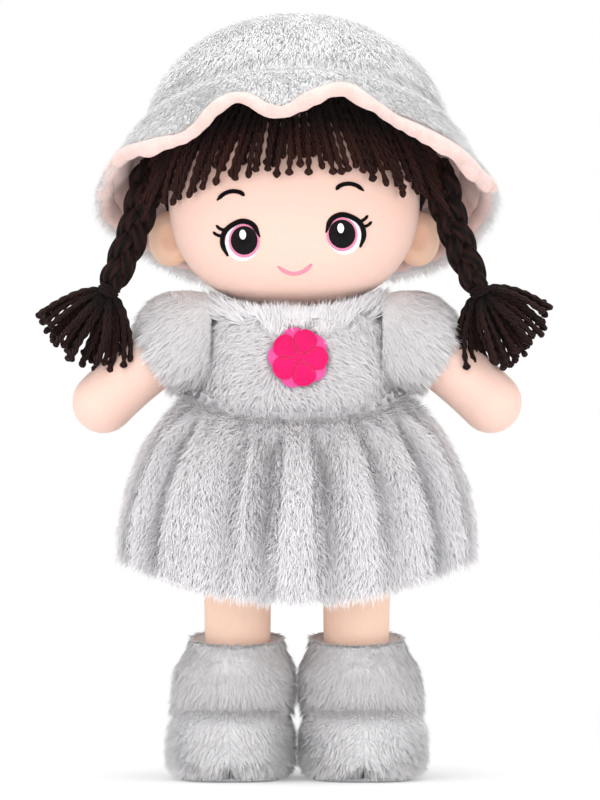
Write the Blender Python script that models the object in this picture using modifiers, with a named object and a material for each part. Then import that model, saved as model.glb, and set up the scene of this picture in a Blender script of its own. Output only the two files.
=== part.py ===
"""A plush rag doll in a fur dress, boots and a brimmed hat, built as the pieces it is sewn from.

Metres, +Z up. The doll faces -Y and stands on z = 0. Left is the side at -X, which is
the left of someone who looks the doll in the face. A piece of one side is built with
side = -1 for left and side = +1 for right.
"""
import math
from dataclasses import dataclass, replace
from typing import Callable

import bmesh
import bpy
from mathutils import Matrix, Vector
from mathutils.bvhtree import BVHTree

# Cloth and clearances
GAP = 0.0003
OVERRUN = 0.012
SKIN_CLOTH = 0.0012
PLUSH_CLOTH = 0.0055
LINING_CLOTH = 0.0015
HEM_CLOTH = 0.0045

# Legs, with the hip axis through the middle of their round tops
HIP_HEIGHT = 0.1374
HIP_NEST = 0.0024
LEG_RADIUS = 0.0178
LEG_SPREAD = 0.0310
LEG_SWELL_SHARES = ((0.00, 1.00), (0.25, 1.02), (0.55, 0.97), (0.80, 0.94), (1.00, 0.92))

# Boots
BOOT_HALF_WIDTH = 0.0330
BOOT_BETWEEN = 0.0030
FOOT_HALF_LENGTH = 0.0415
FOOT_FORWARD = 0.0080
FOOT_HEIGHT = 0.0385
FOOT_FULLNESS = 2.5
FOOT_UPRIGHT_FULLNESS = 3.6
SOLE_THICKNESS = 0.0020
BOOT_TOP_HEIGHT = 0.0735
BOOT_TOP_RADIUS = 0.0235
BOOT_RIM_DIP = 0.0035
BOOT_PUFF_HEIGHT = 0.0460
BOOT_PUFF_RADIUS = 0.0318
BOOT_HEM_HEIGHT = 0.0300
BOOT_HEM_RADIUS = 0.0270
BOOT_RIM_SHARE = 0.06

# Trunk
TORSO_HEIGHT = 0.0849
TORSO_HALF_WIDTH = 0.0470
TORSO_HALF_DEPTH = 0.0330
TORSO_ROUND_FULLNESS = 2.3
TORSO_UPRIGHT_FULLNESS = 5.0
TORSO_TAPER_SHARES = ((0.00, 0.86), (0.20, 0.96), (0.46, 1.00), (0.62, 0.955), (0.73, 0.93),
                      (1.00, 0.93))
SEAM_SLOT_WIDTH = 0.0016
SEAM_SLOT_LENGTH = 0.0260

# Neck, a stuffed ball on a short stem
NECK_RISE = 0.0120
NECK_BALL_RADIUS = 0.0150
NECK_STEM_RADIUS = 0.0112
NECK_ROOT_RADIUS = 0.0080
NECK_ROOT_DEPTH = 0.0120
NECK_BACK = 0.0040
CHIN_BELOW_PIVOT = 0.0055

# Head
HEAD_HALF_WIDTH = 0.0655
HEAD_HALF_DEPTH = 0.0540
HEAD_RISE = 0.0790
HEAD_DROP = 0.0575
HEAD_FULLNESS = 2.25
HEAD_SIDE_SHIFT = -0.0015
HEAD_FORWARD = 0.0020
CHIN_CLEARANCE = 0.0070
CHIN_TROUGH_HALF_DEPTH = 0.3900

# Ears
EAR_HALF_WIDTH = 0.0115
EAR_HALF_DEPTH = 0.0062
EAR_HALF_HEIGHT = 0.0145
EAR_OUT_SHARE = 0.985
EAR_BELOW_CENTRE = 0.0205
EAR_BACK = 0.0085

# Face, placed from the point midway between the eyes
FACE_LEAN = math.radians(3.7)
FACE_ABOVE_CHIN = 0.0378
FACE_SIDE_SHIFT = -0.0020
EYE_SPACING = 0.0252
EYE_HALF_WIDTH = 0.0080
EYE_HALF_HEIGHT = 0.0086
STITCH_THICKNESS = 0.0007
THREAD_RADIUS = 0.0007
LID_RADIUS = 0.0013
LID_OUT_SHARE = 1.28
LID_POINT_SHARES = ((-1.04, -0.78), (-1.10, 0.10), (-0.80, 0.80), (-0.12, 1.13), (0.55, 0.85),
                    (0.98, 0.22))
LASH_POINT_SHARES = (((-0.98, 0.62), (-1.45, 0.66), (-1.82, 0.84)),
                     ((-1.08, 0.30), (-1.55, 0.28), (-2.00, 0.46)))
BROW_POINT_SHARES = ((-1.45, 2.42), (-1.05, 2.75), (-0.55, 2.90), (-0.05, 2.82), (0.28, 2.64))
MOUTH_HALF_WIDTH = 0.0086
MOUTH_SAG = 0.0040
MOUTH_BELOW_EYES = 0.0160
THREAD_TIP_SHARE = 0.45

# Hair
HAIR_THICKNESS = 0.0065
HAIRLINE_FRONT_HEIGHT = 0.0560
HAIRLINE_BACK_HEIGHT = -0.0400
FRINGE_THICKNESS = 0.0036
FRINGE_STRAND_DEPTH = 0.0012
FRINGE_SEAM = 0.0011
FRINGE_STRANDS = 22
FRINGE_HALF_ANGLE = math.radians(78.0)
FRINGE_TIP_SHARES = ((-1.00, 0.00), (-0.72, -0.06), (-0.42, 0.13), (-0.10, 0.20), (0.10, 0.22),
                     (0.45, 0.17), (0.72, 0.03), (1.00, -0.02))
FRINGE_RAGGED = 0.0035
FRINGE_RAGGED_TURN = math.radians(137.5)
PLAIT_RADIUS = 0.0072
PLAIT_ROOT_RADIUS = 0.0048
PLAIT_TIP_RADIUS = 0.0042
PLAIT_BULGES = 5
PLAIT_BULGE_SHARE = 0.13
PLAIT_SWELL_SHARE = 0.25
PLAIT_TAPER_SHARE = 0.86
PLAIT_TIP_SHARE = 0.94
PLAIT_LENGTH = 0.0700
PLAIT_FLARE = 0.0220
PLAIT_FLARE_POWER = 1.6
PLAIT_FORWARD = 0.0120
PLAIT_ROOT_HEIGHT = 0.0200
TIE_THICKNESS = 0.0016
TIE_LENGTH = 0.0050
TASSEL_LENGTH = 0.0345
TASSEL_HALF_WIDTH = 0.0205
TASSEL_HALF_DEPTH = 0.0115
TASSEL_STRANDS = 12
TASSEL_RIPPLE_SHARE = 0.12
TASSEL_NECK_SHARE = 0.22
TASSEL_FULLNESS = 3.2
TASSEL_LEANS = {-1: math.radians(24.0), 1: math.radians(30.0)}

# Hat, tilted back about X
HAT_TILT = math.radians(26.0)
HAT_ABOVE_HEAD_CENTRE = 0.0330
HAT_BACK = 0.0100
HAT_ROOM = 0.0005
CROWN_EASE = 0.0003
BRIM_WIDTH = 0.0270
BRIM_DROP = 0.0345
BRIM_FLARE_POWER = 0.85
BRIM_WAVE_POWER = 1.5
BRIM_WAVE_OUT_SHARE = 0.25
BRIM_WAVE_SHARES = ((-17.0, 9.0, 0.22), (12.0, 9.0, 0.27), (-43.0, 13.0, -0.14), (62.0, 14.0, -0.10),
                    (-80.0, 15.0, 0.08), (95.0, 15.0, 0.09), (130.0, 16.0, -0.09), (165.0, 14.0, 0.09),
                    (-160.0, 14.0, -0.08), (-122.0, 16.0, 0.09))

# Shoulders, sleeves and arms
SHOULDER_HEIGHT_SHARE = 0.894
ARM_ROOT_RADIUS = 0.0135
ARM_RADIUS = 0.0162
HAND_OUT = 0.1010
HAND_DROP = 0.0330
ARM_STRAIGHT = 0.0030
ARM_BEND_SHARE = 0.18
ARM_SWELL_SHARE = 0.62
ARM_END_SHARE = 0.94
SLEEVE_RADIUS = 0.0262
SLEEVE_HALF_DEPTH = 0.0250
SLEEVE_OUT = 0.0115
SLEEVE_CUFF_SHARE = 0.80
SLEEVE_FULLNESS = 2.2
SLEEVE_FACE_CLEARANCE = 0.0012
SHOULDER_RISE = 0.0140

# Dress
WAIST_HEIGHT_SHARE = 0.458
SKIRT_LENGTH = 0.0970
SKIRT_SIDE_LIFT = 0.0220
SKIRT_HALF_WIDTH = 0.0940
SKIRT_HALF_DEPTH = 0.0750
SKIRT_FOLD_DEPTH = 0.0075
SKIRT_FLARE_SHARE = 0.926
SKIRT_GATHER_SHARE = 0.333
SKIRT_FOLD_ANGLES = (-68, -33, -15, 13.5, 42, 67, 95, 121, 146, 169, -164, -139, -116, -93)
SKIRT_FOLD_WIDTH = math.radians(9.0)

# Flower on the bodice
FLOWER_HEIGHT_SHARE = 0.776
FLOWER_SIDE_SHIFT = 0.0010
FLOWER_RADIUS = 0.0160
FLOWER_LAYER = 0.0015
FLOWER_PETALS = 5
FLOWER_NOTCH_SHARE = 0.30
FLOWER_PETAL_POWER = 0.7
FLOWER_TURN = math.radians(-2.0)
FLOWER_TOP_SHARE = 0.94
FLOWER_BUTTON_RADIUS = 0.0026

# The feet stand this far behind the middle of the outer box, which the hat's brim reaches past
FEET_BEHIND_MIDDLE = 0.0067

# Faces round and along the larger forms
HEAD_SEGMENTS, HEAD_RINGS = 20, 11
TORSO_SEGMENTS, TORSO_RINGS = 18, 9
SMALL_SEGMENTS, SMALL_RINGS = 12, 8
EYE_RINGS = 6
SLEEVE_SEGMENTS, SLEEVE_RINGS = 16, 9
BOOT_SEGMENTS, BOOT_RINGS = 16, 9
SHAFT_RINGS = 10
PETAL_SEGMENTS, PETAL_RINGS = 40, 4
CROWN_COLUMNS, CROWN_ROWS = 26, 5
BRIM_COLUMNS, BRIM_ROWS = 40, 3
SKIRT_COLUMNS, SKIRT_ROWS = 54, 4
FRINGE_ROWS = 3
SOCKET_SEGMENTS, SOCKET_RINGS = 18, 10
TURNED_STEPS = 14
PLAIT_STEPS = 18
ARM_STEPS = 6
ARM_BEVEL_STEPS = 3
CORD_BEVEL_STEPS = 2
THREAD_BEVEL_STEPS = 1
ROUND_STEPS = 5
LEG_STEPS = 4
NECK_STEPS = 9
HALVINGS = 30
CROWN_TEST_STEPS = 30

# Heights and places that follow from the sizes above
TORSO_BOTTOM = HIP_HEIGHT + LEG_RADIUS + GAP - HIP_NEST
TORSO_TOP = TORSO_BOTTOM + TORSO_HEIGHT
TORSO_MIDDLE = TORSO_BOTTOM + TORSO_HEIGHT / 2
WAIST_HEIGHT = TORSO_BOTTOM + WAIST_HEIGHT_SHARE * TORSO_HEIGHT
SHOULDER_HEIGHT = TORSO_BOTTOM + SHOULDER_HEIGHT_SHARE * TORSO_HEIGHT
NECK_PIVOT = Vector((0.0, NECK_BACK, TORSO_TOP + NECK_RISE))
HEAD_CENTRE = Vector((HEAD_SIDE_SHIFT, -HEAD_FORWARD, NECK_PIVOT.z - CHIN_BELOW_PIVOT + HEAD_DROP))
FOOT_BOTTOM = SOLE_THICKNESS + GAP
BOOT_SPREAD = BOOT_HALF_WIDTH + BOOT_BETWEEN / 2
CROWN_RADIUS = HEAD_HALF_WIDTH + HAIR_THICKNESS + HEM_CLOTH + LINING_CLOTH + HAT_ROOM
HAT_AXIS = Vector((0.0, math.sin(HAT_TILT), math.cos(HAT_TILT)))
HAT_FORWARD = Vector((0.0, -math.cos(HAT_TILT), math.sin(HAT_TILT)))
HAT_CENTRE = Vector((0.0, HAT_BACK - HEAD_FORWARD, HEAD_CENTRE.z + HAT_ABOVE_HEAD_CENTRE))
STAND = Vector((0.0, FEET_BEHIND_MIDDLE, 0.0))


def share_at(table, place):
    """Read a table of (place, share) pairs with a smooth step between neighbours."""
    if place <= table[0][0]:
        return table[0][1]
    for (low, first), (high, second) in zip(table, table[1:]):
        if place <= high:
            step = (place - low) / (high - low)
            return first + (second - first) * step * step * (3.0 - 2.0 * step)
    return table[-1][1]


def plain_taper(height):
    """Keep a form at its full width at every height."""
    return 1.0


def torso_taper(height):
    """Width share of the trunk at a world height."""
    return share_at(TORSO_TAPER_SHARES, (height - TORSO_BOTTOM) / TORSO_HEIGHT)


@dataclass(frozen=True)
class Form:
    """A stuffed shape: a ball swollen to its half sizes, squarer as its fullness rises above 2."""

    centre: Vector
    half_width: float
    half_depth: float
    rise: float
    drop: float
    round_fullness: float = 2.0
    upright_fullness: float = 2.0
    taper: Callable = plain_taper

    def point(self, unit, grow=0.0):
        """Point of the surface in the direction of a unit vector, moved out by grow."""
        around, upright = self.round_fullness, self.upright_fullness
        flat = (abs(unit.x) ** around + abs(unit.y) ** around) ** (1.0 / around)
        size = (flat ** upright + abs(unit.z) ** upright) ** (1.0 / upright)
        height = (self.rise if unit.z > 0.0 else self.drop) + grow
        z = self.centre.z + height * unit.z / size
        wide = self.taper(z)
        return Vector((self.centre.x + (self.half_width * wide + grow) * unit.x / size,
                       self.centre.y + (self.half_depth * wide + grow) * unit.y / size, z))

    def level(self, z, grow=0.0):
        """Share of the full section that is left at a world height."""
        height = (self.rise if z > self.centre.z else self.drop) + grow
        share = min(abs(z - self.centre.z) / height, 1.0)
        return (1.0 - share ** self.upright_fullness) ** (1.0 / self.upright_fullness)

    def width_at(self, z, grow=0.0):
        """Half width of the form at a world height."""
        return (self.half_width * self.taper(z) + grow) * self.level(z, grow)

    def around(self, angle, z, grow=0.0):
        """Point at a height, turned by angle from the front towards +X."""
        unit = Vector((math.sin(angle), -math.cos(angle)))
        full = self.round_fullness
        size = (abs(unit.x) ** full + abs(unit.y) ** full) ** (1.0 / full)
        wide, left = self.taper(z), self.level(z, grow)
        return Vector((self.centre.x + (self.half_width * wide + grow) * left * unit.x / size,
                       self.centre.y + (self.half_depth * wide + grow) * left * unit.y / size, z))

    def front(self, x, z, grow=0.0):
        """Point of the front surface that lies straight behind the place (x, z)."""
        wide, left, full = self.taper(z), self.level(z, grow), self.round_fullness
        aside = abs(x - self.centre.x) / (self.half_width * wide + grow)
        inward = max(left ** full - aside ** full, 0.0) ** (1.0 / full)
        return Vector((x, self.centre.y - (self.half_depth * wide + grow) * inward, z))


HEAD = Form(HEAD_CENTRE, HEAD_HALF_WIDTH, HEAD_HALF_DEPTH, HEAD_RISE, HEAD_DROP,
            HEAD_FULLNESS, HEAD_FULLNESS)
TORSO = Form(Vector((0.0, 0.0, TORSO_MIDDLE)), TORSO_HALF_WIDTH, TORSO_HALF_DEPTH, TORSO_HEIGHT / 2,
             TORSO_HEIGHT / 2, TORSO_ROUND_FULLNESS, TORSO_UPRIGHT_FULLNESS, torso_taper)
BODICE = replace(TORSO, half_width=TORSO_HALF_WIDTH + GAP + PLUSH_CLOTH,
                 half_depth=TORSO_HALF_DEPTH + GAP + PLUSH_CLOTH,
                 rise=TORSO_HEIGHT / 2 + SHOULDER_RISE, drop=TORSO_HEIGHT / 2)
ARM_ROOT_X = TORSO.width_at(SHOULDER_HEIGHT - ARM_ROOT_RADIUS) + GAP
ARMHOLE_X = TORSO.width_at(SHOULDER_HEIGHT) + GAP + PLUSH_CLOTH


def clear_scene():
    """Remove every object of the open scene."""
    for obj in list(bpy.data.objects):
        bpy.data.objects.remove(obj, do_unlink=True)


def new_collection(name):
    """Add a collection to the scene."""
    made = bpy.data.collections.new(name)
    bpy.context.scene.collection.children.link(made)
    return made


def cloth_material(name, colour, roughness):
    """Matt cloth or thread in one colour, given as linear red, green and blue."""
    made = bpy.data.materials.new(name)
    made.use_nodes = True
    shader = made.node_tree.nodes["Principled BSDF"]
    shader.inputs["Base Color"].default_value = (*colour, 1.0)
    shader.inputs["Roughness"].default_value = roughness
    shader.inputs["Metallic"].default_value = 0.0
    return made


class Workshop:
    """The collections and materials that every piece is made with."""

    def __init__(self):
        clear_scene()
        self.pieces = new_collection("rag_doll")
        self.cutters = new_collection("cutters")
        self.skin = cloth_material("skin_jersey", (0.95, 0.72, 0.60), 0.85)
        self.plush = cloth_material("grey_plush", (0.70, 0.70, 0.71), 0.95)
        self.lining = cloth_material("pink_velvet", (0.78, 0.57, 0.52), 0.90)
        self.yarn = cloth_material("brown_yarn", (0.037, 0.012, 0.008), 0.80)
        self.filling = cloth_material("white_fibre", (0.85, 0.85, 0.83), 0.95)
        self.petal = cloth_material("pink_felt", (0.884, 0.016, 0.183), 0.80)
        self.under_petal = cloth_material("magenta_felt", (0.85, 0.10, 0.37), 0.80)
        self.black_thread = cloth_material("black_thread", (0.010, 0.010, 0.012), 0.60)
        self.pink_thread = cloth_material("pink_thread", (0.90, 0.30, 0.40), 0.60)
        self.sole = cloth_material("grey_felt", (0.60, 0.60, 0.62), 0.90)

    def piece(self, name, mesh, material, origin=Vector()):
        """Make a mesh one named piece of the standing doll, with its origin on its joint."""
        made = bpy.data.objects.new(name, mesh)
        mesh.materials.clear()
        mesh.materials.append(material)
        mesh.transform(Matrix.Translation(-origin))
        made.location = origin + STAND
        mesh.shade_smooth()
        self.pieces.objects.link(made)
        return made

    def cutter(self, name, mesh):
        """Make a mesh a hidden cutter."""
        made = bpy.data.objects.new(name, mesh)
        made.location = STAND
        made.hide_render = True
        made.display_type = "WIRE"
        self.cutters.objects.link(made)
        return made


def cut(target, cutter, operation="DIFFERENCE"):
    """Cut a piece with a cutter, or join or intersect the two."""
    modifier = target.modifiers.new(cutter.name, "BOOLEAN")
    modifier.operation = operation
    modifier.solver = "EXACT"
    modifier.object = cutter


def finish_mesh(name, bm):
    """Turn an edit mesh into a mesh."""
    mesh = bpy.data.meshes.new(name)
    bm.to_mesh(mesh)
    bm.free()
    return mesh


def ball_mesh(name, place, segments, rings):
    """A unit ball whose every point is carried to place(point)."""
    bm = bmesh.new()
    bmesh.ops.create_uvsphere(bm, u_segments=segments, v_segments=rings, radius=1.0)
    for vert in bm.verts:
        vert.co = place(vert.co.normalized())
    return finish_mesh(name, bm)


def form_mesh(name, form, grow=0.0, segments=SMALL_SEGMENTS, rings=SMALL_RINGS):
    """The closed surface of a form."""
    return ball_mesh(name, lambda unit: form.point(unit, grow), segments, rings)


def box_mesh(name, low, high):
    """A box between two corners."""
    bm = bmesh.new()
    bmesh.ops.create_cube(bm, size=1.0)
    size = high - low
    middle = (low + high) / 2
    for vert in bm.verts:
        vert.co = middle + Vector((vert.co.x * size.x, vert.co.y * size.y, vert.co.z * size.z))
    return finish_mesh(name, bm)


def rod_mesh(name, start, end, radius, steps=TURNED_STEPS, bore=False):
    """A round rod between two points. A bore's flat sides, not its corners, lie at the radius."""
    bm = bmesh.new()
    along = end - start
    if bore:
        radius /= math.cos(math.pi / steps)
    bmesh.ops.create_cone(bm, cap_ends=True, segments=steps, radius1=radius, radius2=radius,
                          depth=along.length)
    turn = along.to_track_quat("Z", "Y").to_matrix().to_4x4()
    bm.transform(Matrix.Translation((start + end) / 2) @ turn)
    return finish_mesh(name, bm)


def sheet_mesh(name, place, columns, rows, inside, closed=True, sink=0.0):
    """An open sheet of columns by rows, carried to place(u, v) with u and v from 0 to 1.

    A closed sheet meets itself where u reaches 1. Its faces look away from the point inside,
    and the whole sheet is then sunk behind its own faces.
    """
    bm = bmesh.new()
    bmesh.ops.create_grid(bm, x_segments=columns, y_segments=rows, size=1.0)
    for vert in bm.verts:
        vert.co = place((vert.co.x + 1.0) / 2, (vert.co.y + 1.0) / 2)
    if closed:
        bmesh.ops.remove_doubles(bm, verts=bm.verts, dist=GAP / 100)
    bm.normal_update()
    outward = sum((face.calc_center_median() - inside).dot(face.normal) for face in bm.faces)
    if outward < 0.0:
        bmesh.ops.reverse_faces(bm, faces=bm.faces)
        bm.normal_update()
    sunk = [vert.co - vert.normal * sink for vert in bm.verts]
    for vert, spot in zip(bm.verts, sunk):
        vert.co = spot
    return finish_mesh(name, bm)


def thicken(target, thickness, outwards=True):
    """Give an open sheet its cloth thickness, on the side that its faces look to or behind it."""
    modifier = target.modifiers.new("thickness", "SOLIDIFY")
    modifier.thickness = thickness
    modifier.offset = 1.0 if outwards else -1.0
    modifier.use_even_offset = False


def turned_mesh(name, profile, place):
    """Profile points (radius, height), top to bottom on the outer side, turned about +Z at place."""
    mesh = bpy.data.meshes.new(name)
    points = [Vector((radius, 0.0, height)) for radius, height in profile]
    edges = [(number, number + 1) for number in range(len(points) - 1)]
    mesh.from_pydata(points, edges, [])
    shape = bpy.data.objects.new(name, mesh)
    bpy.context.scene.collection.objects.link(shape)
    screw = shape.modifiers.new("turn", "SCREW")
    screw.steps = TURNED_STEPS
    screw.render_steps = TURNED_STEPS
    screw.use_merge_vertices = True
    screw.merge_threshold = GAP / 10
    bpy.context.view_layer.update()
    turned = bpy.data.meshes.new_from_object(shape.evaluated_get(bpy.context.evaluated_depsgraph_get()))
    bpy.data.objects.remove(shape, do_unlink=True)
    turned.transform(Matrix.Translation(place))
    return turned


def tube_mesh(name, points, radii, bevel_resolution=CORD_BEVEL_STEPS):
    """A round tube along points, with its own radius at each point and closed ends."""
    curve = bpy.data.curves.new(name, "CURVE")
    curve.dimensions = "3D"
    curve.bevel_depth = 1.0
    curve.bevel_resolution = bevel_resolution
    curve.use_fill_caps = True
    spline = curve.splines.new("POLY")
    spline.points.add(len(points) - 1)
    for spot, point, radius in zip(spline.points, points, radii):
        spot.co = (*point, 1.0)
        spot.radius = radius
    shape = bpy.data.objects.new(name, curve)
    bpy.context.scene.collection.objects.link(shape)
    bpy.context.view_layer.update()
    mesh = bpy.data.meshes.new_from_object(shape.evaluated_get(bpy.context.evaluated_depsgraph_get()))
    bpy.data.objects.remove(shape, do_unlink=True)
    bm = bmesh.new()
    bm.from_mesh(mesh)
    bmesh.ops.remove_doubles(bm, verts=bm.verts, dist=GAP / 100)
    bmesh.ops.recalc_face_normals(bm, faces=bm.faces)
    bm.to_mesh(mesh)
    bm.free()
    return mesh


def round_end(centre, along, radius):
    """Points and radii of the round end of a limb, past the centre of its last section."""
    angles = [math.pi / 2 * number / ROUND_STEPS for number in range(1, ROUND_STEPS)]
    angles.append(math.pi / 2 * ARM_END_SHARE)
    return ([centre + along * radius * math.sin(angle) for angle in angles],
            [radius * math.cos(angle) for angle in angles])


def side_name(side):
    """Name of a side of the doll."""
    return "left" if side < 0 else "right"


# Head and face

def head_shell(shop):
    """The sewn head: a stuffed cover, open at the neck, and the fibre that fills it."""
    outside = form_mesh("head_cover", HEAD, 0.0, HEAD_SEGMENTS, HEAD_RINGS)
    cover = shop.piece("head_cover", outside, shop.skin, NECK_PIVOT)
    inside = form_mesh("head_inside", HEAD, -SKIN_CLOTH, HEAD_SEGMENTS, HEAD_RINGS)
    cut(cover, shop.cutter("head_inside", inside))
    around, upright = SOCKET_SEGMENTS, SOCKET_RINGS
    hollow = (NECK_BALL_RADIUS + GAP) / (math.cos(math.pi / around) * math.cos(math.pi / upright / 2))
    socket = Form(NECK_PIVOT, hollow, hollow, hollow, hollow)
    cut(cover, shop.cutter("neck_socket", form_mesh("neck_socket", socket, 0.0, around, upright)))
    fibre = form_mesh("head_filling", HEAD, -SKIN_CLOTH - GAP, HEAD_SEGMENTS, HEAD_RINGS)
    filling = shop.piece("head_filling", fibre, shop.filling, NECK_PIVOT)
    nest = form_mesh("neck_nest", socket, GAP, around, upright)
    cut(filling, shop.cutter("neck_nest", nest))


def ear(shop, side):
    """A flat stuffed ear, sewn to the side of the head."""
    out = side * HEAD_HALF_WIDTH * EAR_OUT_SHARE
    centre = Vector((HEAD_CENTRE.x + out, EAR_BACK, HEAD_CENTRE.z - EAR_BELOW_CENTRE))
    form = Form(centre, EAR_HALF_WIDTH, EAR_HALF_DEPTH, EAR_HALF_HEIGHT, EAR_HALF_HEIGHT)
    name = f"{side_name(side)}_ear"
    made = shop.piece(name, form_mesh(name, form), shop.skin, NECK_PIVOT)
    seat = form_mesh(f"{name}_seat", HEAD, GAP, HEAD_SEGMENTS, HEAD_RINGS)
    cut(made, shop.cutter(f"{name}_seat", seat))


def face_place(across, up):
    """World (x, z) of a place on the face, given from the point midway between the eyes."""
    x = HEAD_CENTRE.x - HEAD_SIDE_SHIFT + FACE_SIDE_SHIFT
    z = HEAD_CENTRE.z - HEAD_DROP + FACE_ABOVE_CHIN
    return (x + across * math.cos(FACE_LEAN) - up * math.sin(FACE_LEAN),
            z + across * math.sin(FACE_LEAN) + up * math.cos(FACE_LEAN))


def patch_mesh(name, form, middle, outline, low, thickness, segments, rings):
    """A thin patch that follows a form's front, with outline(angle) as its radius and a domed face."""
    def place(unit):
        angle = math.atan2(unit.y, unit.x)
        reach = math.hypot(unit.x, unit.y) * outline(angle)
        x = middle[0] + reach * math.cos(angle)
        z = middle[1] + reach * math.sin(angle)
        lift = low + thickness * math.sqrt(max(unit.z, 0.0))
        return form.front(x, z, lift)
    return ball_mesh(name, place, segments, rings)


def thread_points(places, radius):
    """Points of a thread that lies on the face, through (x, z) places."""
    return [HEAD.front(x, z, radius + GAP) for x, z in places]


def spline_value(before, start, end, after, t):
    """Catmull-Rom value at t between start and end, with the values before and after them."""
    square = 2 * before - 5 * start + 4 * end - after
    cube = 3 * start - before - 3 * end + after
    return start + ((end - before) * t + square * t ** 2 + cube * t ** 3) / 2


def smooth_line(places, steps=2):
    """More places along a smooth line through the given ones."""
    padded = [places[0], *places, places[-1]]
    made = []
    for a, b, c, d in zip(padded, padded[1:], padded[2:], padded[3:]):
        for number in range(steps):
            t = number / steps
            made.append(tuple(spline_value(p, q, r, s, t) for p, q, r, s in zip(a, b, c, d)))
    made.append(places[-1])
    return made


def seat_on_face(meshes):
    """Push meshes back together until the nearest lies two gaps in front of the sewn head."""
    bm = bmesh.new()
    bm.from_mesh(form_mesh("head_seat", HEAD, 0.0, HEAD_SEGMENTS, HEAD_RINGS))
    tree = BVHTree.FromBMesh(bm)
    bm.free()
    back = Vector((0.0, 1.0, 0.0))
    spaces = [tree.ray_cast(vert.co, back)[-1] for mesh in meshes for vert in mesh.vertices]
    for mesh in meshes:
        mesh.transform(Matrix.Translation(back * (min(spaces) - 2 * GAP)))


def thread_mesh(name, places, radius):
    """An embroidered line, thinner towards its two ends."""
    line = smooth_line(places)
    last = len(line) - 1
    bulges = [math.sqrt(math.sin(math.pi * number / last)) for number in range(last)] + [0.0]
    radii = [radius * (THREAD_TIP_SHARE + (1.0 - THREAD_TIP_SHARE) * bulge) for bulge in bulges]
    return tube_mesh(name, thread_points(line, radius), radii, THREAD_BEVEL_STEPS)


def eye(shop, side):
    """An embroidered eye: its round ground, its lid with two lashes, and its brow."""
    name = side_name(side)
    middle = face_place(side * EYE_SPACING, 0.0)

    def oval(angle):
        return 1.0 / math.hypot(math.cos(angle) / EYE_HALF_WIDTH, math.sin(angle) / EYE_HALF_HEIGHT)

    ground = patch_mesh(f"{name}_eye", HEAD, middle, oval, GAP, STITCH_THICKNESS, SMALL_SEGMENTS,
                        EYE_RINGS)
    seat_on_face([ground])
    shop.piece(f"{name}_eye", ground, shop.black_thread, NECK_PIVOT)

    def placed(shares):
        across, up = shares
        return face_place(side * (EYE_SPACING - across * EYE_HALF_WIDTH), up * EYE_HALF_HEIGHT)

    lid_places = [placed((across * LID_OUT_SHARE, up * LID_OUT_SHARE)) for across, up in LID_POINT_SHARES]
    lid_line = thread_mesh(f"{name}_lashes", lid_places, LID_RADIUS)
    lash_lines = [thread_mesh(f"{name}_lash", [placed(spot) for spot in shares], THREAD_RADIUS)
                  for shares in LASH_POINT_SHARES]
    seat_on_face([lid_line, *lash_lines])
    lid = shop.piece(f"{name}_lashes", lid_line, shop.black_thread, NECK_PIVOT)
    for number, lash in enumerate(lash_lines):
        cut(lid, shop.cutter(f"{name}_lash_{number}", lash), "UNION")
    brow_places = [placed(spot) for spot in BROW_POINT_SHARES]
    brow = thread_mesh(f"{name}_brow", brow_places, THREAD_RADIUS)
    seat_on_face([brow])
    shop.piece(f"{name}_brow", brow, shop.black_thread, NECK_PIVOT)


def mouth(shop):
    """The smiling line of pink thread."""
    shares = [number / 2 - 1.0 for number in range(5)]
    sags = [MOUTH_SAG * (share * share - 1.0) - MOUTH_BELOW_EYES for share in shares]
    places = [face_place(share * MOUTH_HALF_WIDTH, sag) for share, sag in zip(shares, sags)]
    smile = thread_mesh("mouth", places, THREAD_RADIUS)
    seat_on_face([smile])
    shop.piece("mouth", smile, shop.pink_thread, NECK_PIVOT)


# Hair

def hairline_height(y):
    """World height of the hair cap's edge at a depth y, a straight line from brow to nape."""
    front, back = HEAD_CENTRE.y - HEAD_HALF_DEPTH, HEAD_CENTRE.y + HEAD_HALF_DEPTH
    share = (y - front) / (back - front)
    drop = HAIRLINE_FRONT_HEIGHT - HAIRLINE_BACK_HEIGHT
    return HEAD_CENTRE.z + HAIRLINE_FRONT_HEIGHT - drop * share


def hair_cap(shop):
    """The cap of yarn that covers the head above the hairline."""
    bm = bmesh.new()
    bm.from_mesh(form_mesh("hair_cap", HEAD, GAP, HEAD_SEGMENTS, HEAD_RINGS))
    slope = (HAIRLINE_FRONT_HEIGHT - HAIRLINE_BACK_HEIGHT) / (2 * HEAD_HALF_DEPTH)
    normal = Vector((0.0, slope, 1.0)).normalized()
    on_plane = Vector((0.0, HEAD_CENTRE.y, hairline_height(HEAD_CENTRE.y)))
    everything = [*bm.verts, *bm.edges, *bm.faces]
    bmesh.ops.bisect_plane(bm, geom=everything, plane_co=on_plane, plane_no=normal, clear_inner=True,
                           dist=GAP / 100)
    cap = shop.piece("hair_cap", finish_mesh("hair_cap", bm), shop.yarn, NECK_PIVOT)
    thicken(cap, HAIR_THICKNESS)


def fringe_top(angle):
    """Height at which the hairline crosses the head's surface, found by halving."""
    low, high = HEAD_CENTRE.z, HEAD_CENTRE.z + HEAD_RISE
    for _ in range(HALVINGS):
        middle = (low + high) / 2
        if middle < hairline_height(HEAD.around(angle, middle).y):
            low = middle
        else:
            high = middle
    return low - FRINGE_SEAM


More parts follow.
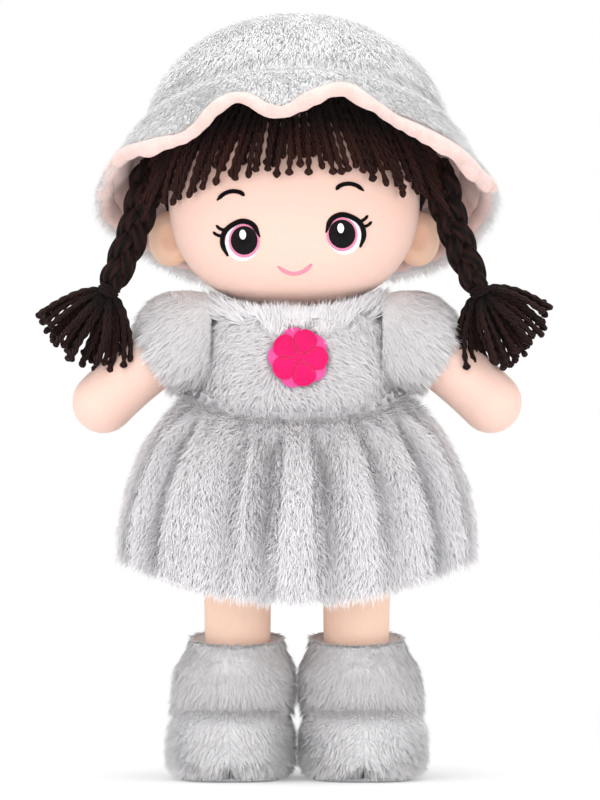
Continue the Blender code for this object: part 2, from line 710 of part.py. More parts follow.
def fringe(shop):
    """The fringe of yarn strands, sewn side by side below the cap's front edge."""
    columns = FRINGE_STRANDS * 2

    def place(u, v):
        angle = FRINGE_HALF_ANGLE * (2.0 * u - 1.0)
        strand = round(u * columns)
        ragged = FRINGE_RAGGED * math.sin(FRINGE_RAGGED_TURN * strand) * (strand % 2)
        tip = HEAD_CENTRE.z + HAIRLINE_FRONT_HEIGHT * share_at(FRINGE_TIP_SHARES, 2.0 * u - 1.0)
        top = fringe_top(angle)
        z = top + (tip + ragged + FRINGE_RAGGED * (1 - strand % 2) - top) * v
        grow = GAP + FRINGE_STRAND_DEPTH * (strand % 2)
        return HEAD.around(angle, z, grow)

    mesh = sheet_mesh("fringe", place, columns, FRINGE_ROWS, HEAD_CENTRE, closed=False)
    thicken(shop.piece("fringe", mesh, shop.yarn, NECK_PIVOT), FRINGE_THICKNESS)


def braid_root(side):
    """Hinge point at the top of a braid, beside the hair cap and under the hat's brim."""
    height = HEAD_CENTRE.z + PLAIT_ROOT_HEIGHT
    angle = math.pi / 2 - PLAIT_FORWARD / HEAD_HALF_WIDTH
    out = HEAD.around(angle, height, GAP + HAIR_THICKNESS).x - HEAD_CENTRE.x + GAP + PLAIT_ROOT_RADIUS
    return Vector((HEAD_CENTRE.x + side * out, -PLAIT_FORWARD, height))


def braid_point(side, share):
    """Point of the plait's middle line, a share of its length below its root."""
    root = braid_root(side)
    out = PLAIT_FLARE * share ** PLAIT_FLARE_POWER
    return root + Vector((side * out, 0.0, -PLAIT_LENGTH * share))


def braid_end_along(side):
    """Direction of the plait's middle line at its lower end."""
    return (braid_point(side, 1.0) - braid_point(side, PLAIT_TIP_SHARE)).normalized()


def plait_radius(share):
    """Radius of the plait, with one bulge for each crossing of its strands."""
    body = PLAIT_ROOT_RADIUS + (PLAIT_RADIUS - PLAIT_ROOT_RADIUS) * min(share / PLAIT_SWELL_SHARE, 1.0)
    if share > PLAIT_TAPER_SHARE:
        taper = (share - PLAIT_TAPER_SHARE) / (PLAIT_TIP_SHARE - PLAIT_TAPER_SHARE)
        return body + (PLAIT_TIP_RADIUS - body) * min(taper, 1.0)
    bulge = abs(math.sin(math.pi * PLAIT_BULGES * share / PLAIT_TAPER_SHARE))
    return body * (1.0 + PLAIT_BULGE_SHARE * (bulge - 1.0))


def braid(shop, side):
    """A plaited pigtail: the plait, the band round its end, and the tassel below."""
    name = side_name(side)
    root = braid_root(side)
    shares = [number / PLAIT_STEPS for number in range(PLAIT_STEPS + 1)]
    points = [braid_point(side, share) for share in shares]
    radii = [plait_radius(share) for share in shares]
    shop.piece(f"{name}_plait", tube_mesh(f"{name}_plait", points, radii), shop.yarn, root)

    along = braid_end_along(side)
    end = points[-1]
    tie_start = end - along * TIE_LENGTH
    band = rod_mesh(f"{name}_tie", tie_start, end, PLAIT_TIP_RADIUS + GAP + TIE_THICKNESS, SMALL_SEGMENTS)
    tie = shop.piece(f"{name}_tie", band, shop.yarn, root)
    bore = rod_mesh(f"{name}_tie_bore", tie_start - along * OVERRUN, end + along * OVERRUN,
                    PLAIT_TIP_RADIUS + GAP, SMALL_SEGMENTS, bore=True)
    cut(tie, shop.cutter(f"{name}_tie_bore", bore))

    turn = Matrix.Rotation(-side * TASSEL_LEANS[side], 3, "Y")
    top = end + along * GAP

    def place(unit):
        angle = math.atan2(unit.y, unit.x)
        flat = math.hypot(unit.x, unit.y)
        size = (flat ** TASSEL_FULLNESS + abs(unit.z) ** TASSEL_FULLNESS) ** (1.0 / TASSEL_FULLNESS)
        share = (1.0 - unit.z / size) / 2
        spread = flat / size * (TASSEL_NECK_SHARE + (1.0 - TASSEL_NECK_SHARE) * share)
        ripple = 1.0 - TASSEL_RIPPLE_SHARE * (1.0 - math.cos(TASSEL_STRANDS * angle)) * share
        down = TASSEL_LENGTH * share * (1.0 - TASSEL_RIPPLE_SHARE * spread * spread)
        local = Vector((TASSEL_HALF_WIDTH * spread * ripple * math.cos(angle),
                        TASSEL_HALF_DEPTH * spread * ripple * math.sin(angle), -down))
        return top + turn @ local

    tassel = ball_mesh(f"{name}_tassel", place, TASSEL_STRANDS * 3, SMALL_RINGS)
    shop.piece(f"{name}_tassel", tassel, shop.yarn, root)


# Hat

def brim_wave(angle):
    """Lift of the brim's edge at an angle from the front, as a share of its drop."""
    lift = 0.0
    for middle, width, share in BRIM_WAVE_SHARES:
        away = (math.degrees(angle) - middle + 180.0) % 360.0 - 180.0
        lift += share * math.exp(-(away / width) ** 2)
    return lift


def brim_point(angle, share):
    """Point of the brim's outer face from its seam (share 0) to its edge (share 1)."""
    radius = CROWN_RADIUS + BRIM_WIDTH * share ** BRIM_FLARE_POWER
    wave = brim_wave(angle) * share ** BRIM_WAVE_POWER
    drop = BRIM_DROP * (share - wave)
    flat = HAT_FORWARD * math.cos(angle) + Vector((math.sin(angle), 0.0, 0.0))
    return HAT_CENTRE + flat * (radius + BRIM_DROP * wave * BRIM_WAVE_OUT_SHARE) - HAT_AXIS * drop


def crown_height():
    """Height of the crown's outer top over its seam, so that its lining rests on the hair."""
    walls = HEM_CLOTH + LINING_CLOTH + 2 * GAP
    inner_radius = CROWN_RADIUS - walls
    steps = CROWN_TEST_STEPS
    needed = 0.0
    for ring in range(steps):
        for turn in range(2 * steps):
            slope, around = math.pi / 2 * ring / steps, math.pi * turn / steps
            flat = math.sin(slope)
            unit = Vector((flat * math.cos(around), flat * math.sin(around), math.cos(slope)))
            hair = HEAD.point(unit, GAP + HAIR_THICKNESS) - HAT_CENTRE
            along = hair.dot(HAT_AXIS)
            aside = (hair - HAT_AXIS * along).length / inner_radius
            if along > 0.0 and aside < 1.0:
                needed = max(needed, along / math.sqrt(1.0 - aside ** 2))
    return needed + CROWN_EASE + walls


def crown_point(angle, share, height):
    """Point of the crown's outer face from its seam (share 0) to its top (share 1)."""
    steep = math.pi / 2 * share
    flat = HAT_FORWARD * math.cos(angle) + Vector((math.sin(angle), 0.0, 0.0))
    return (HAT_CENTRE + flat * CROWN_RADIUS * math.cos(steep)
            + HAT_AXIS * (height * math.sin(steep) + GAP))


def hat(shop):
    """The plush hat: crown, brim, and the pink lining of each."""
    turn = 2 * math.pi
    height = crown_height()
    behind_plush = HEM_CLOTH + GAP

    def crown_sheet(name, sink, thickness, material):
        mesh = sheet_mesh(name, lambda u, v: crown_point(turn * u, v, height), CROWN_COLUMNS,
                          CROWN_ROWS, HAT_CENTRE, sink=sink)
        thicken(shop.piece(name, mesh, material), thickness, outwards=False)

    def brim_sheet(name, sink, thickness, material):
        mesh = sheet_mesh(name, lambda u, v: brim_point(turn * u, v), BRIM_COLUMNS, BRIM_ROWS,
                          HAT_CENTRE - HAT_AXIS * BRIM_DROP, sink=sink)
        thicken(shop.piece(name, mesh, material), thickness, outwards=False)

    crown_sheet("hat_crown", 0.0, HEM_CLOTH, shop.plush)
    crown_sheet("crown_lining", behind_plush, LINING_CLOTH, shop.lining)
    brim_sheet("hat_brim", 0.0, HEM_CLOTH, shop.plush)
    brim_sheet("brim_lining", behind_plush, LINING_CLOTH, shop.lining)


# Neck and trunk

def neck(shop):
    """The neck: a stuffed ball in the head's socket, on a stem that is rooted in the trunk."""
    lowest = math.asin(NECK_STEM_RADIUS / NECK_BALL_RADIUS)
    angles = [(math.pi - lowest) * number / NECK_STEPS for number in range(NECK_STEPS + 1)]
    profile = [(NECK_BALL_RADIUS * math.sin(angle), NECK_PIVOT.z + NECK_BALL_RADIUS * math.cos(angle))
               for angle in angles]
    stem_foot = TORSO_TOP + GAP
    profile += [(NECK_STEM_RADIUS, stem_foot), (NECK_ROOT_RADIUS, stem_foot),
                (NECK_ROOT_RADIUS, TORSO_TOP - NECK_ROOT_DEPTH), (0.0, TORSO_TOP - NECK_ROOT_DEPTH)]
    place = Vector((NECK_PIVOT.x, NECK_PIVOT.y, 0.0))
    shop.piece("neck", turned_mesh("neck", profile, place), shop.skin, NECK_PIVOT)


def neck_root_cutter(shop, name, grow):
    """Cutter for the hole that the neck's root sits in."""
    low = Vector((NECK_PIVOT.x, NECK_PIVOT.y, TORSO_TOP - NECK_ROOT_DEPTH - grow))
    high = Vector((NECK_PIVOT.x, NECK_PIVOT.y, TORSO_TOP + OVERRUN))
    return shop.cutter(name, rod_mesh(name, low, high, NECK_ROOT_RADIUS + grow, bore=True))


def trunk(shop):
    """The stuffed body: a cover with a closing slit at its back, and the fibre inside."""
    outside = form_mesh("torso_cover", TORSO, 0.0, TORSO_SEGMENTS, TORSO_RINGS)
    cover = shop.piece("torso_cover", outside, shop.skin)
    inside = form_mesh("torso_inside", TORSO, -SKIN_CLOTH, TORSO_SEGMENTS, TORSO_RINGS)
    cut(cover, shop.cutter("torso_inside", inside))
    cut(cover, neck_root_cutter(shop, "neck_root_hole", GAP))
    slot = Vector((SEAM_SLOT_WIDTH / 2, 0.0, SEAM_SLOT_LENGTH / 2))
    middle = Vector((0.0, TORSO_HALF_DEPTH, TORSO_MIDDLE))
    low = middle - slot - Vector((0.0, OVERRUN, 0.0))
    high = middle + slot + Vector((0.0, OVERRUN, 0.0))
    cut(cover, shop.cutter("seam_slot", box_mesh("seam_slot", low, high)))
    fibre = form_mesh("torso_filling", TORSO, -SKIN_CLOTH - GAP, TORSO_SEGMENTS, TORSO_RINGS)
    filling = shop.piece("torso_filling", fibre, shop.filling)
    cut(filling, neck_root_cutter(shop, "neck_root_nest", 2 * GAP))


def bodice(shop):
    """The dress's upper part: a plush shell round the trunk with a neckline and two armholes."""
    outside = form_mesh("dress_bodice", BODICE, 0.0, TORSO_SEGMENTS, TORSO_RINGS)
    shell = shop.piece("dress_bodice", outside, shop.plush)
    inside = form_mesh("bodice_inside", TORSO, GAP, TORSO_SEGMENTS, TORSO_RINGS)
    cut(shell, shop.cutter("bodice_inside", inside))
    wide = TORSO_HALF_WIDTH + PLUSH_CLOTH + OVERRUN
    below = box_mesh("below_waist", Vector((-wide, -wide, TORSO_BOTTOM - OVERRUN)),
                     Vector((wide, wide, WAIST_HEIGHT)))
    cut(shell, shop.cutter("below_waist", below))
    trough = Form(HEAD_CENTRE, HEAD_HALF_WIDTH + CHIN_CLEARANCE, CHIN_TROUGH_HALF_DEPTH, HEAD_RISE,
                  HEAD_DROP + CHIN_CLEARANCE, HEAD_FULLNESS, HEAD_FULLNESS)
    cut(shell, shop.cutter("chin_trough", form_mesh("chin_trough", trough, 0.0, HEAD_SEGMENTS, HEAD_RINGS)))
    hole_foot = Vector((NECK_PIVOT.x, NECK_PIVOT.y, TORSO_TOP - SKIN_CLOTH))
    hole_top = Vector((NECK_PIVOT.x, NECK_PIVOT.y, TORSO_TOP + OVERRUN))
    neck_hole = rod_mesh("neck_hole", hole_foot, hole_top, NECK_BALL_RADIUS + 2 * GAP, bore=True)
    cut(shell, shop.cutter("neck_hole", neck_hole))
    for side in (-1, 1):
        name = side_name(side)
        start = Vector((side * (ARM_ROOT_X - OVERRUN), 0.0, SHOULDER_HEIGHT))
        end = Vector((side * (ARMHOLE_X + OVERRUN), 0.0, SHOULDER_HEIGHT))
        hole = rod_mesh(f"{name}_armhole", start, end, ARM_ROOT_RADIUS + GAP, bore=True)
        cut(shell, shop.cutter(f"{name}_armhole", hole))
        face = Vector((side * ARMHOLE_X, 0.0, SHOULDER_HEIGHT))
        flat = rod_mesh(f"{name}_armhole_face", face, end, SLEEVE_RADIUS + SLEEVE_FACE_CLEARANCE)
        cut(shell, shop.cutter(f"{name}_armhole_face", flat))


def fold_depth(angle):
    """How far the skirt's cloth draws in at an angle, from 0 on a fold's crest to 1 in its valley."""
    draw = 0.0
    for middle in SKIRT_FOLD_ANGLES:
        away = (angle - math.radians(middle) + math.pi) % (2 * math.pi) - math.pi
        draw = max(draw, math.exp(-(away / SKIRT_FOLD_WIDTH) ** 2))
    return draw


def skirt_point(angle, share):
    """Point of the skirt's outer face, from the waist (share 0) to the hem (share 1)."""
    top_width = TORSO.width_at(WAIST_HEIGHT) + PLUSH_CLOTH
    top_depth = TORSO_HALF_DEPTH + PLUSH_CLOTH
    flare = math.sin(math.pi / 2 * min(share / SKIRT_FLARE_SHARE, 1.0))
    half_width = top_width + (SKIRT_HALF_WIDTH - top_width) * flare
    half_depth = top_depth + (SKIRT_HALF_DEPTH - top_depth) * flare
    draw = SKIRT_FOLD_DEPTH * fold_depth(angle) * min(share / SKIRT_GATHER_SHARE, 1.0)
    full = TORSO_ROUND_FULLNESS
    unit = Vector((math.sin(angle), -math.cos(angle)))
    size = (abs(unit.x) ** full + abs(unit.y) ** full) ** (1.0 / full)
    length = SKIRT_LENGTH - SKIRT_SIDE_LIFT * math.sin(angle) ** 2
    return Vector(((half_width - draw) * unit.x / size, (half_depth - draw) * unit.y / size,
                   WAIST_HEIGHT - GAP - length * share))


def skirt(shop):
    """The gathered skirt, hanging from the waist seam in its main folds."""
    inside = Vector((0.0, 0.0, WAIST_HEIGHT - SKIRT_LENGTH / 2))
    mesh = sheet_mesh("dress_skirt", lambda u, v: skirt_point(2 * math.pi * u, v), SKIRT_COLUMNS,
                      SKIRT_ROWS, inside)
    thicken(shop.piece("dress_skirt", mesh, shop.plush), HEM_CLOTH, outwards=False)


def flower(shop):
    """The felt flower on the bodice: two layers of petals and a stitched button."""
    middle = (FLOWER_SIDE_SHIFT, TORSO_BOTTOM + FLOWER_HEIGHT_SHARE * TORSO_HEIGHT)

    def petals(radius, turn):
        def outline(angle):
            lobe = abs(math.cos(FLOWER_PETALS * (angle - turn) / 2))
            return radius * (1.0 - FLOWER_NOTCH_SHARE * (1.0 - lobe ** FLOWER_PETAL_POWER))
        return outline

    between = FLOWER_TURN + math.pi / FLOWER_PETALS
    lower = patch_mesh("flower_back", BODICE, middle, petals(FLOWER_RADIUS, between),
                       GAP, FLOWER_LAYER, PETAL_SEGMENTS, PETAL_RINGS)
    shop.piece("flower_back", lower, shop.under_petal)
    upper = patch_mesh("flower_front", BODICE, middle, petals(FLOWER_RADIUS * FLOWER_TOP_SHARE, FLOWER_TURN),
                       2 * GAP + FLOWER_LAYER, FLOWER_LAYER, PETAL_SEGMENTS, PETAL_RINGS)
    shop.piece("flower_front", upper, shop.petal)
    button = patch_mesh("flower_button", BODICE, middle, lambda angle: FLOWER_BUTTON_RADIUS,
                        3 * GAP + 2 * FLOWER_LAYER, FLOWER_LAYER, SMALL_SEGMENTS, SMALL_RINGS)
    shop.piece("flower_button", button, shop.petal)


# Arms

def arm_path(side, shrink):
    """Middle line and radii of an arm, straight through the armhole and then down to the hand."""
    shoulder = Vector((side * ARM_ROOT_X, 0.0, SHOULDER_HEIGHT))
    bend = Vector((side * (ARMHOLE_X + ARM_STRAIGHT), 0.0, SHOULDER_HEIGHT))
    hand = Vector((side * HAND_OUT, 0.0, SHOULDER_HEIGHT - HAND_DROP))
    elbow = Vector((bend.x + (hand.x - bend.x) * ARM_BEND_SHARE, 0.0, SHOULDER_HEIGHT))
    points, radii = [shoulder, bend], [ARM_ROOT_RADIUS, ARM_ROOT_RADIUS]
    for number in range(1, ARM_STEPS + 1):
        t = number / ARM_STEPS
        points.append(bend * (1 - t) ** 2 + elbow * 2 * t * (1 - t) + hand * t * t)
        swell = min(t / ARM_SWELL_SHARE, 1.0)
        radii.append(ARM_ROOT_RADIUS + (ARM_RADIUS - ARM_ROOT_RADIUS) * swell)
    along = (hand - points[-2]).normalized()
    end_points, end_radii = round_end(hand, along, ARM_RADIUS - shrink)
    return points + end_points, [radius - shrink for radius in radii] + end_radii


def arm(shop, side):
    """A stuffed arm: its cover, open at the shoulder, and its filling."""
    name = side_name(side)
    hinge = Vector((side * ARM_ROOT_X, 0.0, SHOULDER_HEIGHT))
    outside = tube_mesh(f"{name}_arm_cover", *arm_path(side, 0.0), ARM_BEVEL_STEPS)
    cover = shop.piece(f"{name}_arm_cover", outside, shop.skin, hinge)
    points, radii = arm_path(side, SKIN_CLOTH)
    points[0] = points[0] - Vector((side * OVERRUN, 0.0, 0.0))
    inside = tube_mesh(f"{name}_arm_inside", points, radii, ARM_BEVEL_STEPS)
    cut(cover, shop.cutter(f"{name}_arm_inside", inside))
    fibre = tube_mesh(f"{name}_arm_filling", *arm_path(side, SKIN_CLOTH + GAP), ARM_BEVEL_STEPS)
    shop.piece(f"{name}_arm_filling", fibre, shop.filling, hinge)


def sleeve(shop, side):
    """A puffed plush sleeve round the upper arm, flat against the armhole and open at its cuff."""
    name = f"{side_name(side)}_sleeve"
    hinge = Vector((side * ARM_ROOT_X, 0.0, SHOULDER_HEIGHT))
    centre = Vector((side * (ARMHOLE_X + SLEEVE_OUT), 0.0, SHOULDER_HEIGHT))
    form = Form(centre, SLEEVE_RADIUS, SLEEVE_HALF_DEPTH, SLEEVE_RADIUS, SLEEVE_RADIUS,
                SLEEVE_FULLNESS, SLEEVE_FULLNESS)
    made = shop.piece(name, form_mesh(name, form, 0.0, SLEEVE_SEGMENTS, SLEEVE_RINGS), shop.plush, hinge)
    inner = side * (ARMHOLE_X + GAP)
    far = inner - side * 2 * SLEEVE_RADIUS
    reach = SLEEVE_RADIUS + OVERRUN
    low = Vector((min(inner, far), -reach, SHOULDER_HEIGHT - reach))
    high = Vector((max(inner, far), reach, SHOULDER_HEIGHT + reach))
    cut(made, shop.cutter(f"{name}_face", box_mesh(f"{name}_face", low, high)))
    along = Vector((side * (HAND_OUT - abs(centre.x)), 0.0, -HAND_DROP)).normalized()
    cuff_from = centre + along * SLEEVE_RADIUS * SLEEVE_CUFF_SHARE
    cuff = rod_mesh(f"{name}_cuff", cuff_from, cuff_from + along * SLEEVE_RADIUS, 2 * SLEEVE_RADIUS)
    cut(made, shop.cutter(f"{name}_cuff", cuff))
    points, radii = arm_path(side, -GAP)
    points[0] = points[0] - Vector((side * OVERRUN, 0.0, 0.0))
    cut(made, shop.cutter(f"{name}_arm", tube_mesh(f"{name}_arm", points, radii, ARM_BEVEL_STEPS)))


# Legs and boots

def leg_profile(shrink):
    """Outer profile of a leg from the top of its round hip end to the ankle."""
    ankle = FOOT_HEIGHT + GAP
    top_radius = LEG_RADIUS - shrink
    profile = []
    for number in range(LEG_STEPS + 1):
        angle = math.pi / 2 * number / LEG_STEPS
        profile.append((top_radius * math.sin(angle), HIP_HEIGHT + top_radius * math.cos(angle)))
    for number in range(1, LEG_STEPS + 1):
        share = number / LEG_STEPS
        radius = LEG_RADIUS * share_at(LEG_SWELL_SHARES, share) - shrink
        profile.append((radius, HIP_HEIGHT + (ankle - HIP_HEIGHT) * share))
    return profile


def leg(shop, side):
    """A stuffed leg: its cover, open at the ankle, and its filling."""
    name = side_name(side)
    hinge = Vector((side * LEG_SPREAD, 0.0, HIP_HEIGHT))
    place = Vector((hinge.x, hinge.y, 0.0))
    shell = leg_profile(0.0) + leg_profile(SKIN_CLOTH)[::-1]
    shop.piece(f"{name}_leg_cover", turned_mesh(f"{name}_leg_cover", shell, place), shop.skin, hinge)
    fibre = leg_profile(SKIN_CLOTH + GAP)
    fibre.append((0.0, fibre[-1][1]))
    shop.piece(f"{name}_leg_filling", turned_mesh(f"{name}_leg_filling", fibre, place), shop.filling, hinge)


def foot_form(side):
    """The stuffed foot of a boot."""
    centre = Vector((side * BOOT_SPREAD, -FOOT_FORWARD, FOOT_HEIGHT / 2))
    return Form(centre, BOOT_HALF_WIDTH, FOOT_HALF_LENGTH, FOOT_HEIGHT / 2, FOOT_HEIGHT / 2, FOOT_FULLNESS,
                FOOT_UPRIGHT_FULLNESS)


def boot_shaft_point(side, angle, height_share):
    """Point of the boot shaft's puffed outer face, from its rim (0) to its hem (1)."""
    top, bottom = BOOT_TOP_HEIGHT, BOOT_HEM_HEIGHT
    z = top + (bottom - top) * height_share
    puff_share = (top - BOOT_PUFF_HEIGHT) / (top - bottom)
    if height_share < puff_share:
        bulge = math.sin(math.pi / 2 * height_share / puff_share)
        radius = BOOT_TOP_RADIUS + (BOOT_PUFF_RADIUS - BOOT_TOP_RADIUS) * bulge
    else:
        bulge = math.cos(math.pi / 2 * (height_share - puff_share) / (1.0 - puff_share))
        radius = BOOT_HEM_RADIUS + (BOOT_PUFF_RADIUS - BOOT_HEM_RADIUS) * bulge
    x = side * (LEG_SPREAD + (BOOT_SPREAD - LEG_SPREAD) * height_share)
    z -= BOOT_RIM_DIP * math.cos(angle) * (1.0 - height_share)
    return Vector((x + radius * math.sin(angle), -radius * math.cos(angle), z))


def boot(shop, side):
    """A plush boot: a puffed shaft round the ankle, a stuffed foot, and a flat felt sole."""
    name = side_name(side)
    hinge = Vector((side * LEG_SPREAD, 0.0, HIP_HEIGHT))
    foot = foot_form(side)

    def shaft_place(unit):
        angle = math.atan2(unit.x, -unit.y)
        share = (1.0 - unit.z) / 2
        rim_share, hem_share = BOOT_RIM_SHARE, 1.0 - BOOT_RIM_SHARE
        if share < rim_share:
            full = boot_shaft_point(side, angle, 0.0)
            middle = Vector((side * LEG_SPREAD, 0.0, full.z))
            return middle + (full - middle) * (share / rim_share)
        if share > hem_share:
            full = boot_shaft_point(side, angle, 1.0)
            middle = Vector((side * BOOT_SPREAD, 0.0, full.z))
            return middle + (full - middle) * ((1.0 - share) / (1.0 - hem_share))
        return boot_shaft_point(side, angle, (share - rim_share) / (hem_share - rim_share))

    puffed = ball_mesh(f"{name}_boot_shaft", shaft_place, BOOT_SEGMENTS, SHAFT_RINGS)
    shaft = shop.piece(f"{name}_boot_shaft", puffed, shop.plush, hinge)
    foot_seat = form_mesh(f"{name}_shaft_seat", foot, GAP, BOOT_SEGMENTS, BOOT_RINGS)
    cut(shaft, shop.cutter(f"{name}_shaft_seat", foot_seat))
    bore_top = Vector((hinge.x, hinge.y, HIP_HEIGHT))
    bore_foot = Vector((hinge.x, hinge.y, BOOT_HEM_HEIGHT - OVERRUN))
    bore = rod_mesh(f"{name}_boot_bore", bore_foot, bore_top, LEG_RADIUS + GAP, bore=True)
    cut(shaft, shop.cutter(f"{name}_boot_bore", bore))

    stuffed = form_mesh(f"{name}_boot_foot", foot, 0.0, BOOT_SEGMENTS, BOOT_RINGS)
    made = shop.piece(f"{name}_boot_foot", stuffed, shop.plush, hinge)
    reach = FOOT_HALF_LENGTH + FOOT_FORWARD + OVERRUN
    low = Vector((foot.centre.x - reach, -reach, -OVERRUN))
    high = Vector((foot.centre.x + reach, reach, FOOT_BOTTOM))
    cut(made, shop.cutter(f"{name}_foot_flat", box_mesh(f"{name}_foot_flat", low, high)))

    bm = bmesh.new()
    bmesh.ops.create_cone(bm, cap_ends=True, segments=BOOT_SEGMENTS, radius1=1.0, radius2=1.0,
                          depth=SOLE_THICKNESS)
    for vert in bm.verts:
        edge = foot.around(math.atan2(vert.co.x, -vert.co.y), FOOT_BOTTOM)
        vert.co = Vector((edge.x, edge.y, vert.co.z + SOLE_THICKNESS / 2))
    shop.piece(f"{name}_boot_sole", finish_mesh(f"{name}_boot_sole", bm), shop.sole, hinge)


def main():
    """Build the doll from the trunk outwards."""
    shop = Workshop()
    trunk(shop)
    bodice(shop)
    skirt(shop)
    flower(shop)
    neck(shop)
    head_shell(shop)
    mouth(shop)
    hair_cap(shop)
    fringe(shop)
    hat(shop)
    for side in (-1, 1):
        ear(shop, side)
        eye(shop, side)
        braid(shop, side)
        arm(shop, side)
        sleeve(shop, side)
        leg(shop, side)
        boot(shop, side)


main()
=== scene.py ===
"""Looks of the rag doll: stuffed body, plush clothes, yarn hair and stitched face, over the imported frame.

Lengths are in metres. Turns are measured from the front, the way the face looks, towards the side of +X.
"""

import itertools
import logging
import math
from collections.abc import Callable, Sequence
from dataclasses import dataclass, field, replace
from enum import Enum
from functools import cache

import bpy
import numpy as np
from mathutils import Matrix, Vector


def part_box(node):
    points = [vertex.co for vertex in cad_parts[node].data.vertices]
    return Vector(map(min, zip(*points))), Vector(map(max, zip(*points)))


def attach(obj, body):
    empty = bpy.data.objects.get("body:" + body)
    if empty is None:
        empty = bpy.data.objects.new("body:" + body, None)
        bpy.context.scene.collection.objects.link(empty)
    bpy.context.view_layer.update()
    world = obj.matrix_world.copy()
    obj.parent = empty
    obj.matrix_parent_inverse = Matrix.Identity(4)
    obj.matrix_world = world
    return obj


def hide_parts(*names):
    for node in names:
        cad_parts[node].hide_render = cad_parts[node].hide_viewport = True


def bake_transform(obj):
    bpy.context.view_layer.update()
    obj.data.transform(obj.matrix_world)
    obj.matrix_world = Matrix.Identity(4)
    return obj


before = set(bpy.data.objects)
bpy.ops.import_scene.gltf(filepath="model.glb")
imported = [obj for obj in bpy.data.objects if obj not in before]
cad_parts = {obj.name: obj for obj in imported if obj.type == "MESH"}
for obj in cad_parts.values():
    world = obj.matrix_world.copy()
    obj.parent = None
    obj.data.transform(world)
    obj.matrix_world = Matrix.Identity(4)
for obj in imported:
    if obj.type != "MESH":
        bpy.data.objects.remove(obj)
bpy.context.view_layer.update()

Array = np.ndarray
Field = Callable[[Array, Array], Array]
Comb = Callable[[Array], Array]
Colour = tuple[float, float, float]

logging.basicConfig(level=logging.INFO, format="%(message)s")
log = logging.getLogger("rag_doll")

FULL_TURN = 2.0 * math.pi
QUARTER_TURN = math.pi / 2.0
SIDES = {"left": -1.0, "right": 1.0}
SMALL = 1e-9
CLOTH = 0.0012
VELOUR = 0.0010
MILLIMETRES_SQUARED = 1e6


def middle(node: str) -> Array:
    """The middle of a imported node's box."""
    low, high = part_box(node)
    return (np.array(low) + np.array(high)) / 2.0


STAND = np.array((0.0, middle("left_leg_cover")[1], 0.0))
UP = np.array((0.0, 0.0, 1.0))
AHEAD = np.array((0.0, -1.0, 0.0))
SIDEWAYS = np.array((1.0, 0.0, 0.0))
LEVEL = np.array((1.0, 1.0, 0.0))


def unit(vectors: Array) -> Array:
    """The vectors at length one."""
    return vectors / np.maximum(np.linalg.norm(vectors, axis=-1, keepdims=True), SMALL)


def eased(share: Array) -> Array:
    """The share from 0 to 1 with a gentle start and end: 3 s squared less 2 s cubed."""
    share = np.clip(share, 0.0, 1.0)
    return share * share * (3.0 - 2.0 * share)


def points_at(x: Array, y: Array, z: Array) -> Array:
    """Points from their three coordinates, spread to one shape."""
    return np.stack(np.broadcast_arrays(x, y, z), axis=-1)


def bell(away: Array, width: float | Array) -> Array:
    """A bell curve: 1 at no distance, and 1 over e at the width."""
    return np.exp(-((away / width) ** 2))


def bent(start: Array, middle_point: Array, end: Array, share: Array) -> Array:
    """A quadratic curve from the start to the end, drawn towards the point between them."""
    return start * (1.0 - share) ** 2 + middle_point * 2.0 * share * (1.0 - share) + end * share**2


def oval_size(x: Array, y: Array, fullness: float) -> Array:
    """The size of a flat vector by a squared-off oval: the fullness's root of the sum of the powers."""
    return (np.abs(x) ** fullness + np.abs(y) ** fullness) ** (1.0 / fullness)


def dome(share: Array) -> Array:
    """A dome's height over its middle's: the root of one less the share squared."""
    return np.sqrt(np.maximum(1.0 - share**2, 0.0))


def rings(columns: int, rows: Array) -> tuple[Array, Array]:
    """A grid of turns once round, and of the rows' values."""
    return np.meshgrid(np.arange(columns) * FULL_TURN / columns, rows)


def eased_table(share: Array, table: Sequence[tuple[float, float]]) -> Array:
    """The table's value at each share, with an eased step from each entry to the next.

    Args:
        share: Where the values are wanted.
        table: Pairs of share and value, in order.

    Returns:
        One value for each share.
    """
    places, values = np.array(table).T
    step = np.clip(np.searchsorted(places, share, side="right") - 1, 0, len(places) - 2)
    part = (share - places[step]) / (places[step + 1] - places[step])
    return values[step] + (values[step + 1] - values[step]) * eased(part)


def flowing(knots: Array, count: int) -> Array:
    """A smooth curve through the knots: each stretch is a cubic that leaves a knot as its neighbours lie.

    Args:
        knots: The points that the curve goes through, as (knots, 3).
        count: How many points of the curve are wanted.

    Returns:
        The curve's points, as (count, 3).
    """
    ends = (2.0 * knots[:1] - knots[1:2], knots, 2.0 * knots[-1:] - knots[-2:-1])
    held = np.concatenate(ends)
    place = np.linspace(0.0, len(knots) - 1.0, count)
    step = np.minimum(place.astype(int), len(knots) - 2)
    part = (place - step)[:, None]
    a, b, c, d = (held[step + shift] for shift in range(4))
    bend = 2.0 * a - 5.0 * b + 4.0 * c - d
    return 0.5 * (2.0 * b + (c - a) * part + bend * part**2 + (3.0 * b - a - 3.0 * c + d) * part**3)


def ripples(points: Array, size: float, seed: int, waves: int = 5) -> Array:
    """A slow random value from about -1 to 1 over space: the mean of plane waves in random directions.

    Args:
        points: Where the value is wanted.
        size: The length of a wave.
        seed: Which set of waves is used.
        waves: How many waves are summed.

    Returns:
        One value for each point.
    """
    chance = np.random.default_rng(seed)
    ways = unit(chance.normal(size=(waves, 3))) * FULL_TURN / (size * chance.uniform(0.7, 1.4, (waves, 1)))
    total = np.sin(points @ ways.T + chance.uniform(0.0, FULL_TURN, waves)).sum(axis=-1)
    return total / math.sqrt(waves)


